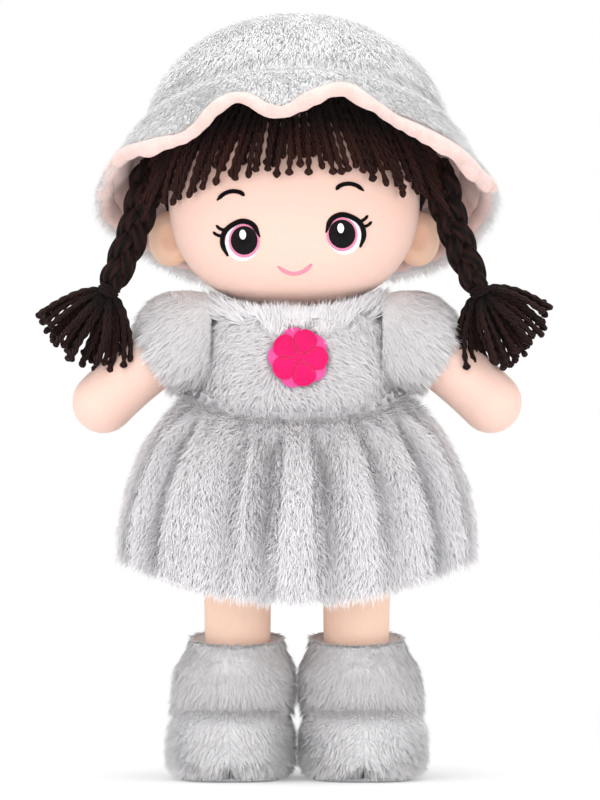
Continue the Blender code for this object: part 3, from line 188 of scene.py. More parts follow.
def spread_of(field_of: Field, u: Array, v: Array, step: float = 1e-4) -> tuple[Array, Array, Array]:
    """The point, the outward unit normal and the unit way of growing v: both slopes from small steps.

    Args:
        field_of: The surface, a function of u and v.
        u: First parameter, the turn.
        v: Second parameter.
        step: The small step in each parameter.

    Returns:
        Points, normals (the cross product of the two slopes) and the way of growing v.
    """
    across = field_of(u + step, v) - field_of(u - step, v)
    along = field_of(u, v + step) - field_of(u, v - step)
    return field_of(u, v), unit(np.cross(across, along)), unit(along)


def shifted(field_of: Field, distance: float) -> Field:
    """The same surface moved along its outward normals.

    Args:
        field_of: The surface, a function of u and v.
        distance: How far it moves; below zero is inwards.

    Returns:
        The moved surface.
    """

    def moved(u: Array, v: Array) -> Array:
        """The point plus the distance along its normal."""
        point, outward, _ = spread_of(field_of, u, v)
        return point + outward * distance

    return moved


@dataclass
class Net:
    """Points, faces and the UVs and tones that go with them, before they become a mesh."""

    points: Array
    faces: list[Array]
    uvs: list[Array]
    tone: Array
    tip: Array


def net_of(
    points: Array,
    closed: bool = False,
    starts: Array | None = None,
    finishes: Array | None = None,
    turned: bool = False,
    tone: Array | None = None,
) -> Net:
    """Joins a net of points into faces, row to row and column to column.

    Args:
        points: (strips, rows, columns, 3), or (rows, columns, 3) for one strip.
        closed: Whether each row's last column joins its first.
        starts: A point for each strip that closes its first row.
        finishes: A point for each strip that closes its last row.
        turned: Whether the faces are turned over.
        tone: A number for each strip.

    Returns:
        The net, whose UVs run once round the columns and once along the rows.
    """
    points = points if points.ndim == 4 else points[None]
    strips, rows, columns, _ = points.shape
    places = np.arange(strips * rows * columns).reshape(strips, rows, columns)
    wraps = columns if closed else columns - 1
    this = np.arange(wraps)
    after = (this + 1) % columns
    low, high = places[:, :-1], places[:, 1:]
    quads = np.stack((low[:, :, this], low[:, :, after], high[:, :, after], high[:, :, this]), axis=-1)
    u, v = np.meshgrid(this / wraps, np.arange(rows - 1) / (rows - 1))
    du, dv = 1.0 / wraps, 1.0 / (rows - 1)
    square = np.stack((np.stack((u, v), -1), np.stack((u + du, v), -1),
                       np.stack((u + du, v + dv), -1), np.stack((u, v + dv), -1)), axis=-2)
    faces = [quads.reshape(-1, 4)]
    uvs = [np.broadcast_to(square, (strips, *square.shape)).reshape(-1, 4, 2)]
    all_points, tip = [points.reshape(-1, 3)], [np.tile(np.repeat(np.linspace(0, 1, rows), columns), strips)]
    for ends, row, share in ((starts, places[:, 0], 0.0), (finishes, places[:, -1], 1.0)):
        if ends is None:
            continue
        pole = sum(len(part) for part in all_points) + np.arange(strips)
        all_points.append(np.asarray(ends, float).reshape(strips, 3))
        tip.append(np.full(strips, share))
        first, second = (after, this) if share == 0.0 else (this, after)
        level = np.full(wraps, share)
        fan = np.stack((row[:, first], row[:, second], np.broadcast_to(pole[:, None], (strips, wraps))), -1)
        faces.append(fan.reshape(-1, 3))
        corner = np.stack([np.stack((part / wraps, level), -1) for part in (first, second, this)], axis=1)
        uvs.append(np.broadcast_to(corner, (strips, *corner.shape)).reshape(-1, 3, 2))
    if turned:
        faces, uvs = [part[:, ::-1] for part in faces], [part[:, ::-1] for part in uvs]
    tones = np.zeros(strips) if tone is None else np.asarray(tone, float)
    ends_given = sum(end is not None for end in (starts, finishes))
    each = np.concatenate([np.repeat(tones, rows * columns)] + [tones] * ends_given)
    return Net(np.concatenate(all_points), faces, uvs, each, np.concatenate(tip))


def joined(nets: Sequence[Net]) -> Net:
    """Several nets as one, with their faces counted on.

    Args:
        nets: The nets, in order.

    Returns:
        One net with all their points and faces.
    """
    faces, uvs, start = [], [], 0
    for part in nets:
        faces += [some + start for some in part.faces]
        uvs += part.uvs
        start += len(part.points)
    return Net(np.concatenate([part.points for part in nets]), faces, uvs,
               np.concatenate([part.tone for part in nets]), np.concatenate([part.tip for part in nets]))


def sheet_net(surface: Field, columns: int, rows: int, closed: bool = True) -> Net:
    """A sheet over the whole of a surface's u and v, both from 0 to 1."""
    u, v = np.meshgrid(np.linspace(0.0, 1.0, columns, endpoint=not closed), np.linspace(0.0, 1.0, rows))
    return net_of(surface(u, v), closed)


def run_of(paths: Array) -> Array:
    """The length run up along each path, as (strips, rows)."""
    steps = np.linalg.norm(np.diff(paths, axis=1), axis=-1)
    return np.concatenate((np.zeros((len(paths), 1)), np.cumsum(steps, axis=1)), axis=1)


def tube_net(
    paths: Array,
    radii: Array,
    sides: int,
    towards: Array,
    lobes: int = 0,
    lobe_share: float = 0.0,
    twist: float = 0.0,
    flat_share: float = 1.0,
    tone: Array | None = None,
    cap_share: float = 0.5,
) -> Net:
    """Round or lobed tubes along paths: a ring about each point, square to the path, with its lobes turning.

    The radius at an angle is the row's radius times 1 plus the lobe share times the cosine of the
    lobes times the angle less the twist run up so far.

    Args:
        paths: (strips, rows, 3).
        radii: The radius of each row, as (strips, rows) or (rows,).
        sides: Points round each ring.
        towards: A way that no path runs along, from which each ring's angle is measured.
        lobes: Threads that show round the ring.
        lobe_share: How deep the grooves between them are, as a share of the radius.
        twist: Radians of twist for each metre of path.
        flat_share: Thickness along that way over width.
        tone: A number for each strip.
        cap_share: How far each end's point stands out, as a share of the end's radius.

    Returns:
        The closed tubes as one net.
    """
    paths = paths if paths.ndim == 3 else paths[None]
    radii = np.broadcast_to(radii, paths.shape[:2])
    ways = unit(np.gradient(paths, axis=1))
    side = unit(np.cross(ways, np.broadcast_to(towards, ways.shape)))
    rise = np.cross(ways, side) * flat_share
    run = run_of(paths)
    angle = np.arange(sides) * FULL_TURN / sides
    wave = 1.0 + lobe_share * np.cos(lobes * angle[None, None] - twist * run[..., None])
    ring = radii[..., None] * wave
    out = side[:, :, None] * np.cos(angle)[:, None] + rise[:, :, None] * np.sin(angle)[:, None]
    points = paths[:, :, None] + out * ring[..., None]
    caps = ways[:, (0, -1)] * radii[:, (0, -1), None] * cap_share
    return net_of(points, True, paths[:, 0] - caps[:, 0], paths[:, -1] + caps[:, 1], tone=tone)


class Wire:
    """A number inside a material that adds, scales and compares like any number."""

    def __init__(self, recipe: "Recipe", socket: bpy.types.NodeSocket) -> None:
        """Wraps one output socket."""
        self.recipe, self.socket = recipe, socket

    def maths(self, operation: str, *values: object) -> "Wire":
        """One Math node over the values."""
        return self.recipe.add("ShaderNodeMath", {"operation": operation}, dict(enumerate(values)))

    def __add__(self, other: object) -> "Wire":
        """Sum."""
        return self.maths("ADD", self, other)

    def __sub__(self, other: object) -> "Wire":
        """Difference."""
        return self.maths("SUBTRACT", self, other)

    def __rsub__(self, other: object) -> "Wire":
        """Difference the other way round."""
        return self.maths("SUBTRACT", other, self)

    def __mul__(self, other: object) -> "Wire":
        """Product."""
        return self.maths("MULTIPLY", self, other)

    def __truediv__(self, other: object) -> "Wire":
        """Quotient."""
        return self.maths("DIVIDE", self, other)

    __radd__ = __add__
    __rmul__ = __mul__

    def wave(self) -> "Wire":
        """The sine, moved to run from 0 to 1."""
        return self.maths("SINE", self) * 0.5 + 0.5

    def between(self, low: float, high: float) -> "Wire":
        """0 at low, 1 at high, with a smooth step between them."""
        settings = {"interpolation_type": "SMOOTHSTEP"}
        return self.recipe.add("ShaderNodeMapRange", settings, {0: self, 1: low, 2: high, 3: 0.0, 4: 1.0})


class Recipe:
    """One material's nodes, added and linked in one way."""

    def __init__(self, name: str) -> None:
        """Starts a material with nothing in it."""
        self.material = bpy.data.materials.new(name)
        self.material.use_nodes = True
        self.tree = self.material.node_tree
        self.tree.nodes.clear()

    def add(self, kind: str, settings: dict | None = None, sockets: dict | None = None,
            out: object = 0) -> Wire:
        """Adds a node, sets it, then gives its sockets their values or links.

        Args:
            kind: The node's type.
            settings: The node's own settings.
            sockets: Values or wires by socket name or number.
            out: The output that is wanted.

        Returns:
            The wanted output.
        """
        node = self.tree.nodes.new(kind)
        for name, value in (settings or {}).items():
            setattr(node, name, value)
        for key, value in (sockets or {}).items():
            socket = node.inputs[key]
            if isinstance(value, Wire):
                self.tree.links.new(value.socket, socket)
            elif isinstance(value, tuple) and len(value) == 3 and socket.type == "RGBA":
                socket.default_value = (*value, 1.0)
            else:
                socket.default_value = value
        return Wire(self, node.outputs[out] if len(node.outputs) else None)

    def place(self) -> Wire:
        """The point in the doll's own frame."""
        return self.add("ShaderNodeTexCoord", out="Object")

    def own(self, name: str) -> Wire:
        """A number that the mesh carries at each point."""
        return self.add("ShaderNodeAttribute", {"attribute_name": name}, out="Fac")

    def speckle(self, scale: float, detail: float = 2.0, rough: float = 0.5) -> Wire:
        """Noise from 0 to 1 over the doll's own frame."""
        sockets = {"Vector": self.place(), "Scale": scale, "Detail": detail, "Roughness": rough}
        return self.add("ShaderNodeTexNoise", {"noise_dimensions": "3D"}, sockets)

    def uv(self, repeats_round: float, repeats_along: float) -> Wire:
        """The mesh's UV times a number each way."""
        sockets = {0: self.add("ShaderNodeUVMap"), 1: (repeats_round, repeats_along, 0.0)}
        return self.add("ShaderNodeVectorMath", {"operation": "MULTIPLY"}, sockets)

    def distance(self, point: tuple[float, float, float]) -> Wire:
        """How far each point of the doll lies from one point."""
        sockets = {0: self.place(), 1: point}
        return self.add("ShaderNodeVectorMath", {"operation": "DISTANCE"}, sockets, out="Value")

    def along(self, repeats_round: float, repeats_along: float) -> Wire:
        """The UV's two parts times a number each, summed."""
        sockets = {0: self.uv(repeats_round, repeats_along), 1: (1.0, 1.0, 0.0)}
        return self.add("ShaderNodeVectorMath", {"operation": "DOT_PRODUCT"}, sockets, out="Value")

    def blend(self, share: object, first: object, second: object) -> Wire:
        """The first colour where the share is 0 and the second where it is 1."""
        return self.add("ShaderNodeMix", {"data_type": "RGBA"}, {0: share, 6: first, 7: second}, out=2)

    def finish(self, colour: object, roughness: object, height: Wire | None, depth: float,
               constants: dict | None = None) -> bpy.types.Material:
        """Ends the material with one Principled shader.

        Args:
            colour: The base colour, fixed or varying.
            roughness: The roughness, fixed or varying.
            height: What the bump reads, or None.
            depth: The bump's depth in metres.
            constants: Other sockets with one value each.

        Returns:
            The finished material.
        """
        sockets = {"Base Color": colour, "Roughness": roughness, **(constants or {})}
        if height is not None:
            bump = {"Strength": 1.0, "Distance": depth, "Height": height}
            sockets["Normal"] = self.add("ShaderNodeBump", None, bump)
        shader = self.add("ShaderNodeBsdfPrincipled", None, sockets)
        self.add("ShaderNodeOutputMaterial", None, {"Surface": shader})
        return self.material


@dataclass(frozen=True)
class Jersey:
    """Brushed, stretched jersey over filling: an even colour with a fine grain, a faint blush on the cheeks
    and painted shade in the ears' hollows.
    """

    name: str
    colour: Colour
    deeper_colour: Colour
    blush_and_shade_spots: tuple[tuple[float, float, float], ...] = ()
    blush_and_shade_reach: float = 0.022
    blush_and_shade_strength: float = 0.22
    slot: str = "skin"

    def material(self) -> bpy.types.Material:
        """Makes the material: blush on the cheeks and painted shade in the ears' hollows are the nearness to
        their points; grain is two noises in colour and bump.

        Returns:
            The material.
        """
        recipe = Recipe(self.name)
        fine, slow = recipe.speckle(1600.0, 3.0, 0.6), recipe.speckle(60.0)
        share = slow * 0.18
        for spot in self.blush_and_shade_spots:
            share = share + (1.0 - (recipe.distance(spot) / self.blush_and_shade_reach).between(0.0, 1.0)) * self.blush_and_shade_strength
        share = share + (fine - 0.5) * 0.35
        colour = recipe.blend(share.between(0.0, 1.0), self.colour, self.deeper_colour)
        constants = {"Sheen Weight": 0.25, "Sheen Roughness": 0.4, "Specular IOR Level": 0.2}
        return recipe.finish(colour, 0.85, fine, 0.00025, constants)


@dataclass(frozen=True)
class Plush:
    """Plush: the pile's strands run from a root painted darker, as the shade deep in the pile, to a light
    tip, each a little unlike the next.
    """

    name: str
    tip: Colour
    root: Colour
    slot: str = "plush"

    def material(self) -> bpy.types.Material:
        """Makes the material: the root is painted darker than the tip as the shade deep in the pile, and each
        strand is dimmed by its own tone, which holds a random part and the painted shade of folds, seams and
        creases.

        Returns:
            The material.
        """
        recipe = Recipe(self.name)
        slow = recipe.speckle(90.0)
        # Painted shade: darker towards the root, and darker where the tone carries a fold's shade.
        share = (0.70 + recipe.own("tip") * 0.30) * (0.68 + recipe.own("tone") * 0.26 + slow * 0.12)
        colour = recipe.blend(share, self.root, self.tip)
        constants = {"Sheen Weight": 0.55, "Sheen Roughness": 0.5, "Specular IOR Level": 0.15}
        return recipe.finish(colour, 0.9, None, 0.0, constants)


@dataclass(frozen=True)
class Fleece:
    """Short brushed fleece, soft and a little mottled."""

    name: str
    colour: Colour
    deep: Colour
    slot: str = "lining"
    grain: float = 900.0
    depth: float = 0.0006
    sheen: float = 0.5

    def material(self) -> bpy.types.Material:
        """Makes the material: two sizes of noise shade and raise the nap.

        Returns:
            The material.
        """
        recipe = Recipe(self.name)
        fine, slow = recipe.speckle(self.grain, 4.0, 0.7), recipe.speckle(110.0, 2.0)
        share = (fine * 0.75 + slow * 0.45).between(0.25, 0.9)
        colour = recipe.blend(share, self.deep, self.colour)
        constants = {"Sheen Weight": self.sheen, "Sheen Roughness": 0.4, "Specular IOR Level": 0.15}
        return recipe.finish(colour, 0.92, fine + slow * 0.6, self.depth, constants)


@dataclass(frozen=True)
class Yarn:
    """Twisted yarn: fine fibres wind round each strand, and the strands differ a little."""

    name: str
    colour: Colour
    deep: Colour
    slot: str = "yarn"
    fibres: float = 5.0
    winds: float = 9.0
    shade: float = 0.05
    lit: tuple[float, float] = (0.30, 0.72)
    depth: float = 0.0003

    def material(self) -> bpy.types.Material:
        """Makes the material: fibres are a sine of the UV, wound round the strand, roughened by noise.

        Returns:
            The material.
        """
        recipe = Recipe(self.name)
        wound = recipe.along(FULL_TURN * self.fibres, FULL_TURN * self.winds)
        fuzz = recipe.speckle(2600.0, 2.0)
        fibre = (wound + fuzz * 3.0).wave()
        share = fibre * 0.6 + recipe.own("tone") * 0.3 + fuzz * 0.3
        # Painted shade: each strand is painted darker towards its start, under the hat's brim, at the plaits'
        # roots and near the tassels' ties, as the shade and lit values set.
        lit = self.shade + recipe.own("tip").between(*self.lit) * (1.0 - self.shade)
        share = share.between(0.1, 1.1) * lit
        colour = recipe.blend(share, self.deep, self.colour)
        constants = {"Sheen Weight": 0.03, "Sheen Roughness": 0.35, "Specular IOR Level": 0.18}
        return recipe.finish(colour, 0.75, fibre * 0.7 + fuzz * 0.6, self.depth, constants)


@dataclass(frozen=True)
class Satin:
    """Satin stitch or felt: threads lie side by side along the UV's second way."""

    name: str
    colour: Colour
    deep: Colour
    slot: str
    threads: float = 40.0
    rough: float = 0.55
    depth: float = 0.00015

    def material(self) -> bpy.types.Material:
        """Makes the material: threads are a sine across the UV, broken by noise.

        Returns:
            The material.
        """
        recipe = Recipe(self.name)
        across = recipe.along(FULL_TURN * self.threads, 0.0)
        fuzz = recipe.speckle(1800.0, 3.0)
        thread = (across + fuzz * 2.0).wave()
        colour = recipe.blend((thread * 0.7 + fuzz * 0.5).between(0.0, 1.1), self.deep, self.colour)
        constants = {"Specular IOR Level": 0.12}
        return recipe.finish(colour, self.rough, thread + fuzz, self.depth, constants)


SKIN = Jersey("jersey_skin", (0.88, 0.605, 0.515), (0.89, 0.51, 0.425),
              ((-0.043, -0.0430, 0.266), (0.038, -0.0430, 0.268)))
# The ear's deeper orange spot is painted shade in the hollow of each ear; the face's spots above are cheek
# blush.
EAR_SKIN = Jersey("jersey_ear", (0.99, 0.68, 0.51), (0.97, 0.50, 0.32),
                  ((-0.0635, 0.0050, 0.2800), (0.0605, 0.0050, 0.2800)), 0.011)
LIMB_SKIN = Jersey("jersey_arm", (0.87, 0.605, 0.515), (0.87, 0.52, 0.425))
LEG_SKIN = Jersey("jersey_leg", (0.96, 0.68, 0.54), (0.94, 0.57, 0.43))
# One plush cloth: the hat's and the feet's pile are painted lighter, as painted light, and the boot shafts'
# pile darker, as painted shade.
PLUSH_PILE = Plush("plush_pile", (0.94, 0.925, 0.94), (0.50, 0.49, 0.51))
LIT_HAT_PILE = Plush("hat_pile_painted_light", (0.998, 0.998, 0.998), (0.96, 0.96, 0.965))
SLEEVE_PILE = Plush("sleeve_pile", (0.92, 0.905, 0.915), (0.55, 0.54, 0.55))
SHADED_SHAFT_PILE = Plush("boot_shaft_pile_painted_shade", (0.81, 0.79, 0.80), (0.42, 0.41, 0.42))
LIT_FOOT_PILE = Plush("boot_foot_pile_painted_light", (0.99, 0.98, 0.99), (0.72, 0.71, 0.72))
PLUSH_BACKING = Fleece("plush_backing", (0.86, 0.86, 0.87), (0.74, 0.74, 0.76), "plush")
LINING = Fleece("pink_fleece", (0.90, 0.68, 0.63), (0.76, 0.50, 0.46))
HAIR = Yarn("brown_yarn", (0.050, 0.014, 0.009), (0.003, 0.0009, 0.0008))
PLAIT_HAIR = Yarn("brown_plait_yarn", (0.026, 0.0075, 0.005), (0.001, 0.0004, 0.0004), lit=(-0.3, 0.1))
TASSEL_HAIR = Yarn("brown_tassel_yarn", (0.030, 0.0085, 0.006), (0.001, 0.0004, 0.0004), lit=(0.0, 0.45))
HAIR_BASE = Fleece("brown_cap", (0.012, 0.005, 0.004), (0.003, 0.0015, 0.0015), "yarn", sheen=0.0)
PETAL = Fleece("petal_felt", (0.83, 0.013, 0.165), (0.66, 0.006, 0.105), "petal", 1500.0, 0.0004)
UNDER_PETAL = Fleece("under_petal_felt", (0.86, 0.13, 0.40), (0.74, 0.05, 0.27), "under_petal", 1500.0,
                     0.0004)
BLACK_THREAD = Satin("black_thread", (0.008, 0.006, 0.007), (0.0015, 0.0012, 0.0015), "black_thread")
LIP_THREAD = Satin("lip_thread", (0.98, 0.40, 0.52), (0.92, 0.27, 0.40), "pink_thread", 24.0, 0.6, 0.00008)
PINK_THREAD = Satin("pink_thread", (0.90, 0.33, 0.50), (0.74, 0.17, 0.34), "pink_thread")
WHITE_THREAD = Satin("white_thread", (0.98, 0.975, 0.98), (0.92, 0.91, 0.93), "pink_thread", 60.0)
SHINE_THREAD = Satin("shine_thread", (1.0, 1.0, 1.0), (0.98, 0.98, 0.98), "pink_thread", 6.0, 0.5, 0.00003)
SOLE_FELT = Fleece("sole_felt", (0.55, 0.55, 0.57), (0.40, 0.40, 0.42), "sole")
Finish = Jersey | Plush | Fleece | Yarn | Satin


@cache
def material_of(finish: Finish) -> bpy.types.Material:
    """The finish's material, made once."""
    return finish.material()


def made(name: str, net: Net, finish: Finish, fills: Sequence[str] = ()) -> bpy.types.Object:
    """Makes a named piece from a net and dresses it.

    Args:
        name: The piece's name.
        net: Its points and faces.
        finish: Its cloth or thread.
        fills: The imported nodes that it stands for.

    Returns:
        The piece, at the origin, with its place in its mesh.
    """
    mesh = bpy.data.meshes.new(name)
    mesh.vertices.add(len(net.points))
    mesh.vertices.foreach_set("co", (net.points + STAND).astype(np.float32).ravel())
    corners = np.concatenate([part.ravel() for part in net.faces]).astype(np.int32)
    sizes = np.concatenate([np.full(len(part), part.shape[1]) for part in net.faces])
    mesh.loops.add(len(corners))
    mesh.loops.foreach_set("vertex_index", corners)
    mesh.polygons.add(len(sizes))
    mesh.polygons.foreach_set("loop_start", np.concatenate(([0], np.cumsum(sizes)[:-1])).astype(np.int32))
    mesh.uv_layers.new(name="UVMap").data.foreach_set(
        "uv", np.concatenate([part.reshape(-1, 2) for part in net.uvs]).astype(np.float32).ravel())
    for label, values in (("tone", net.tone), ("tip", net.tip)):
        mesh.attributes.new(label, "FLOAT", "POINT").data.foreach_set("value", values.astype(np.float32))
    mesh.update(calc_edges=True)
    mesh.shade_smooth()
    mesh.materials.append(material_of(finish))
    piece = bpy.data.objects.new(name, mesh)
    bpy.context.scene.collection.objects.link(piece)
    if fills:
        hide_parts(*fills)
    log.info("%s: %d faces", name, len(sizes))
    return piece


def stuffed(name: str, net: Net, finish: Finish, fills: Sequence[str], body: str) -> bpy.types.Object:
    """Makes a stuffed piece that rides on a body.

    Args:
        name: The piece's name.
        net: Its points and faces.
        finish: Its cloth or yarn.
        fills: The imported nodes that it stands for.
        body: The body that carries it.

    Returns:
        The piece.
    """
    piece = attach(made(name, net, finish, fills), body)
    return piece


def walled(piece: bpy.types.Object, thickness: float = CLOTH) -> bpy.types.Object:
    """Gives a sheet its thickness, inwards."""
    wall = piece.modifiers.new("thickness", "SOLIDIFY")
    wall.thickness, wall.offset = thickness, -1.0
    return piece


def carried(piece: bpy.types.Object, on: bpy.types.Object) -> bpy.types.Object:
    """Lets a piece go with the one that it is sewn to."""
    piece.parent = on
    return piece


@dataclass(frozen=True)
class Cut:
    """The flat size of a sheet, measured on its surface: longest row, longest column and area."""

    width: float
    length: float
    area: float

    @classmethod
    def of(cls, surface: Field, steps: int = 120) -> "Cut":
        """Measures a surface over its whole u and v.

        Args:
            surface: The surface, a function of u and v from 0 to 1.
            steps: Points each way.

        Returns:
            Its longest row, longest column and area.
        """
        u, v = np.meshgrid(np.linspace(0.0, 1.0, steps), np.linspace(0.0, 1.0, steps))
        points = surface(u, v)
        across, along = np.diff(points, axis=1), np.diff(points, axis=0)
        area = np.linalg.norm(np.cross(across[:-1], along[:, :-1]), axis=-1).sum()
        width = np.linalg.norm(across, axis=-1).sum(axis=1).max()
        length = np.linalg.norm(along, axis=-1).sum(axis=0).max()
        return cls(float(width), float(length), float(area))


def laid_sheet(piece: bpy.types.Object, surface: Field) -> None:
    """Measures the flat size of a sheet's surface; the result is not kept.

    Args:
        piece: The sheet; not used.
        surface: The surface it was built from.
    """
    cut = Cut.of(surface)
    min(cut.area, cut.width * cut.length)


def shaken(cells: Array, seed: int) -> Array:
    """Three even random numbers from 0 to 1 for each whole cell, always the same for one cell.

    The cell's numbers times large primes are summed, and the sum's bits are folded over and multiplied.

    Args:
        cells: Whole numbers, as (cells, 3).
        seed: Which set of numbers is used.

    Returns:
        The random numbers, as (cells, 3).
    """
    whole = 0xFFFFFFFF
    mixed = cells @ np.array((73856093, 19349663, 83492791)) + seed * 2654435761
    parts = []
    for turn in (1, 2, 3):
        bits = (mixed * (2 * turn + 1) + turn * 40503) & whole
        for shift, factor in ((16, 0x85EBCA6B), (13, 0xC2B2AE35)):
            bits = ((bits ^ (bits >> shift)) * factor) & whole
        parts.append((bits ^ (bits >> 16)) / whole)
    return np.stack(parts, axis=-1)


def tufts(points: Array, size: float, seed: int) -> Array:
    """The middle of the tuft that each point belongs to: the nearest shaken corner of a lattice.

    Args:
        points: Where the strands are rooted.
        size: The lattice's spacing.
        seed: Which shaking is used.

    Returns:
        One middle for each point.
    """
    cell = np.floor(points / size).astype(np.int64)
    nearest, centre = np.full(len(points), np.inf), points.copy()
    for shift in itertools.product((-1, 0, 1), repeat=3):
        other = cell + np.array(shift)
        place = (other + shaken(other, seed)) * size
        away = np.linalg.norm(place - points, axis=-1)
        closer = away < nearest
        nearest[closer], centre[closer] = away[closer], place[closer]
    return centre


@dataclass(frozen=True)
class Pile:
    """The pile of a plush cloth: flat tapering strands that lean the way they are combed, in loose tufts."""

    length: float = 0.0076
    width: float = 0.00042
    lean: float = math.radians(50.0)
    lean_spread: float = math.radians(8.0)
    stray: float = math.radians(19.0)
    swirl: float = math.radians(26.0)
    swirl_size: float = 0.035
    tuft: float = 0.0050
    gather: float = 0.34
    stands_by: float = math.radians(26.0)
    per_square_mm: float = 2.0
    sizes: tuple[float, float] = (0.68, 1.12)
    elbow: float = 0.55
    root_depth: float = 0.0004
    tilt: float = 0.35
    # How much darker a strand in a fold is painted, as painted shade.
    painted_shade_by: float = 1.9

    def sown(self, surface: Field, seed: int, kept: Callable[[Array], Array] | None = None,
             grid: int = 240) -> tuple[Array, Array, Array]:
        """Spreads roots over a surface, evenly by its area.

        Args:
            surface: The backing, a function of u and v from 0 to 1.
            seed: Which draw is used.
            kept: Says for each root whether it stays.
            grid: Cells each way in which the area is measured.

        Returns:
            The roots' points, normals and ways of growing v.
        """
        chance = np.random.default_rng(seed)
        edges = np.linspace(0.0, 1.0, grid + 1)
        corners = surface(*np.meshgrid(edges, edges))
        across, along = np.diff(corners, axis=1)[:-1], np.diff(corners, axis=0)[:, :-1]
        area = np.linalg.norm(np.cross(across, along), axis=-1).ravel()
        share = 1.0
        wanted = np.cumsum(area) * MILLIMETRES_SQUARED * self.per_square_mm * share
        counts = np.diff(np.floor(np.concatenate(([0.0], wanted)) + chance.uniform()))
        cell = np.repeat(np.arange(len(area)), counts.astype(int))
        u = (cell % grid + chance.uniform(size=len(cell))) / grid
        v = (cell // grid + chance.uniform(size=len(cell))) / grid
        points, outward, along_v = spread_of(surface, u, v)
        if kept is not None:
            stays = kept(points)
            points, outward, along_v = points[stays], outward[stays], along_v[stays]
        return points, outward, along_v

    def strands(self, points: Array, outward: Array, combed: Array, seed: int, fold_and_shade: Array) -> Net:
        """Grows a strand from each root.

        The tip is the root plus the length, leaning from the normal towards the combed way, which is
        turned about the normal by a slow swirl and a stray of its own; then it is drawn to its tuft.
        Where the cloth is drawn in, the pile stands up more, and its strands are painted darker as painted
        shade.

        Args:
            points: The roots.
            outward: The backing's unit normals there.
            combed: The ways in which the pile is combed.
            seed: Which draw is used.
            fold_and_shade: How far each root lies in a fold, from 0 to 1, as (roots, 1); it stands the pile
                up and paints the strand darker as shade.

        Returns:
            The strands as one net.
        """
        chance = np.random.default_rng(seed)
        count = len(points)
        flat = unit(combed - outward * (combed * outward).sum(-1, keepdims=True))
        turn = self.swirl * ripples(points, self.swirl_size, seed + 7)
        turn = turn + self.stray * chance.normal(size=count)
        aside = np.cross(outward, flat)
        way = flat * np.cos(turn)[:, None] + aside * np.sin(turn)[:, None]
        stray_lean = self.lean_spread * (chance.normal(size=count) + 0.5 * ripples(points, 0.018, seed + 9))
        lean = self.lean + stray_lean[:, None] - fold_and_shade * self.stands_by
        size = (self.length * chance.uniform(*self.sizes, count))[:, None]
        half = self.elbow * size * (outward * np.cos(lean * 0.62) + way * np.sin(lean * 0.62))
        reach = half + (1.0 - self.elbow) * size * (outward * np.cos(lean * 1.32) + way * np.sin(lean * 1.32))
        pull = tufts(points, self.tuft, seed) - points
        pull = pull - outward * (pull * outward).sum(-1, keepdims=True)
        pull = pull * (self.gather * chance.uniform(0.5, 1.2, count))[:, None]
        bend, tip = points + half + pull * 0.4, points + reach + pull
        tilt = chance.uniform(-self.tilt, self.tilt, count)[:, None]
        side = unit(np.cross(tip - points, outward))
        side = (side * np.cos(tilt) + np.cross(unit(tip - points), side) * np.sin(tilt)) * self.width / 2.0
        base = points - outward * self.root_depth
        five = np.stack((base - side, base + side, bend - side * 0.8, bend + side * 0.8, tip), axis=1)
        start = np.arange(count)[:, None] * 5
        faces = [start + np.array((0, 1, 3, 2)), start + np.array((2, 3, 4))]
        quad = np.array(((0.0, 0.0), (1.0, 0.0), (1.0, self.elbow), (0.0, self.elbow)))
        corner = np.array(((0.0, self.elbow), (1.0, self.elbow), (0.5, 1.0)))
        uvs = [np.broadcast_to(quad, (count, 4, 2)), np.broadcast_to(corner, (count, 3, 2))]
        # The tone is random, less the painted shade of the fold, seam or crease that the root lies in; below
        # zero it paints the strand lighter.
        tone = np.repeat(chance.uniform(size=count) - fold_and_shade[:, 0] * self.painted_shade_by, 5)
        tips = np.tile((0.0, 0.0, self.elbow, self.elbow, 1.0), count)
        return Net(five.reshape(-1, 3), faces, uvs, tone, tips)

    def on(self, surface: Field, comb: Comb | None, seed: int, kept: Callable[[Array], Array] | None = None,
           fold_and_shade_of: Comb | None = None) -> Net:
        """Grows pile over a whole surface.

        Args:
            surface: The backing, a function of u and v.
            comb: The way in which the pile is combed at each root, or None for the way of falling v.
            seed: Which draws are used.
            kept: Says for each root whether it stays.
            fold_and_shade_of: How deep in a fold each root lies, which stands its pile up and paints it
                darker as shade.

        Returns:
            The strands as one net.
        """
        points, outward, along_v = self.sown(surface, seed, kept)
        fold_and_shade = (np.zeros(len(points)) if fold_and_shade_of is None else fold_and_shade_of(points))[:, None]
        return self.strands(points, outward, -along_v if comb is None else comb(points), seed, fold_and_shade)


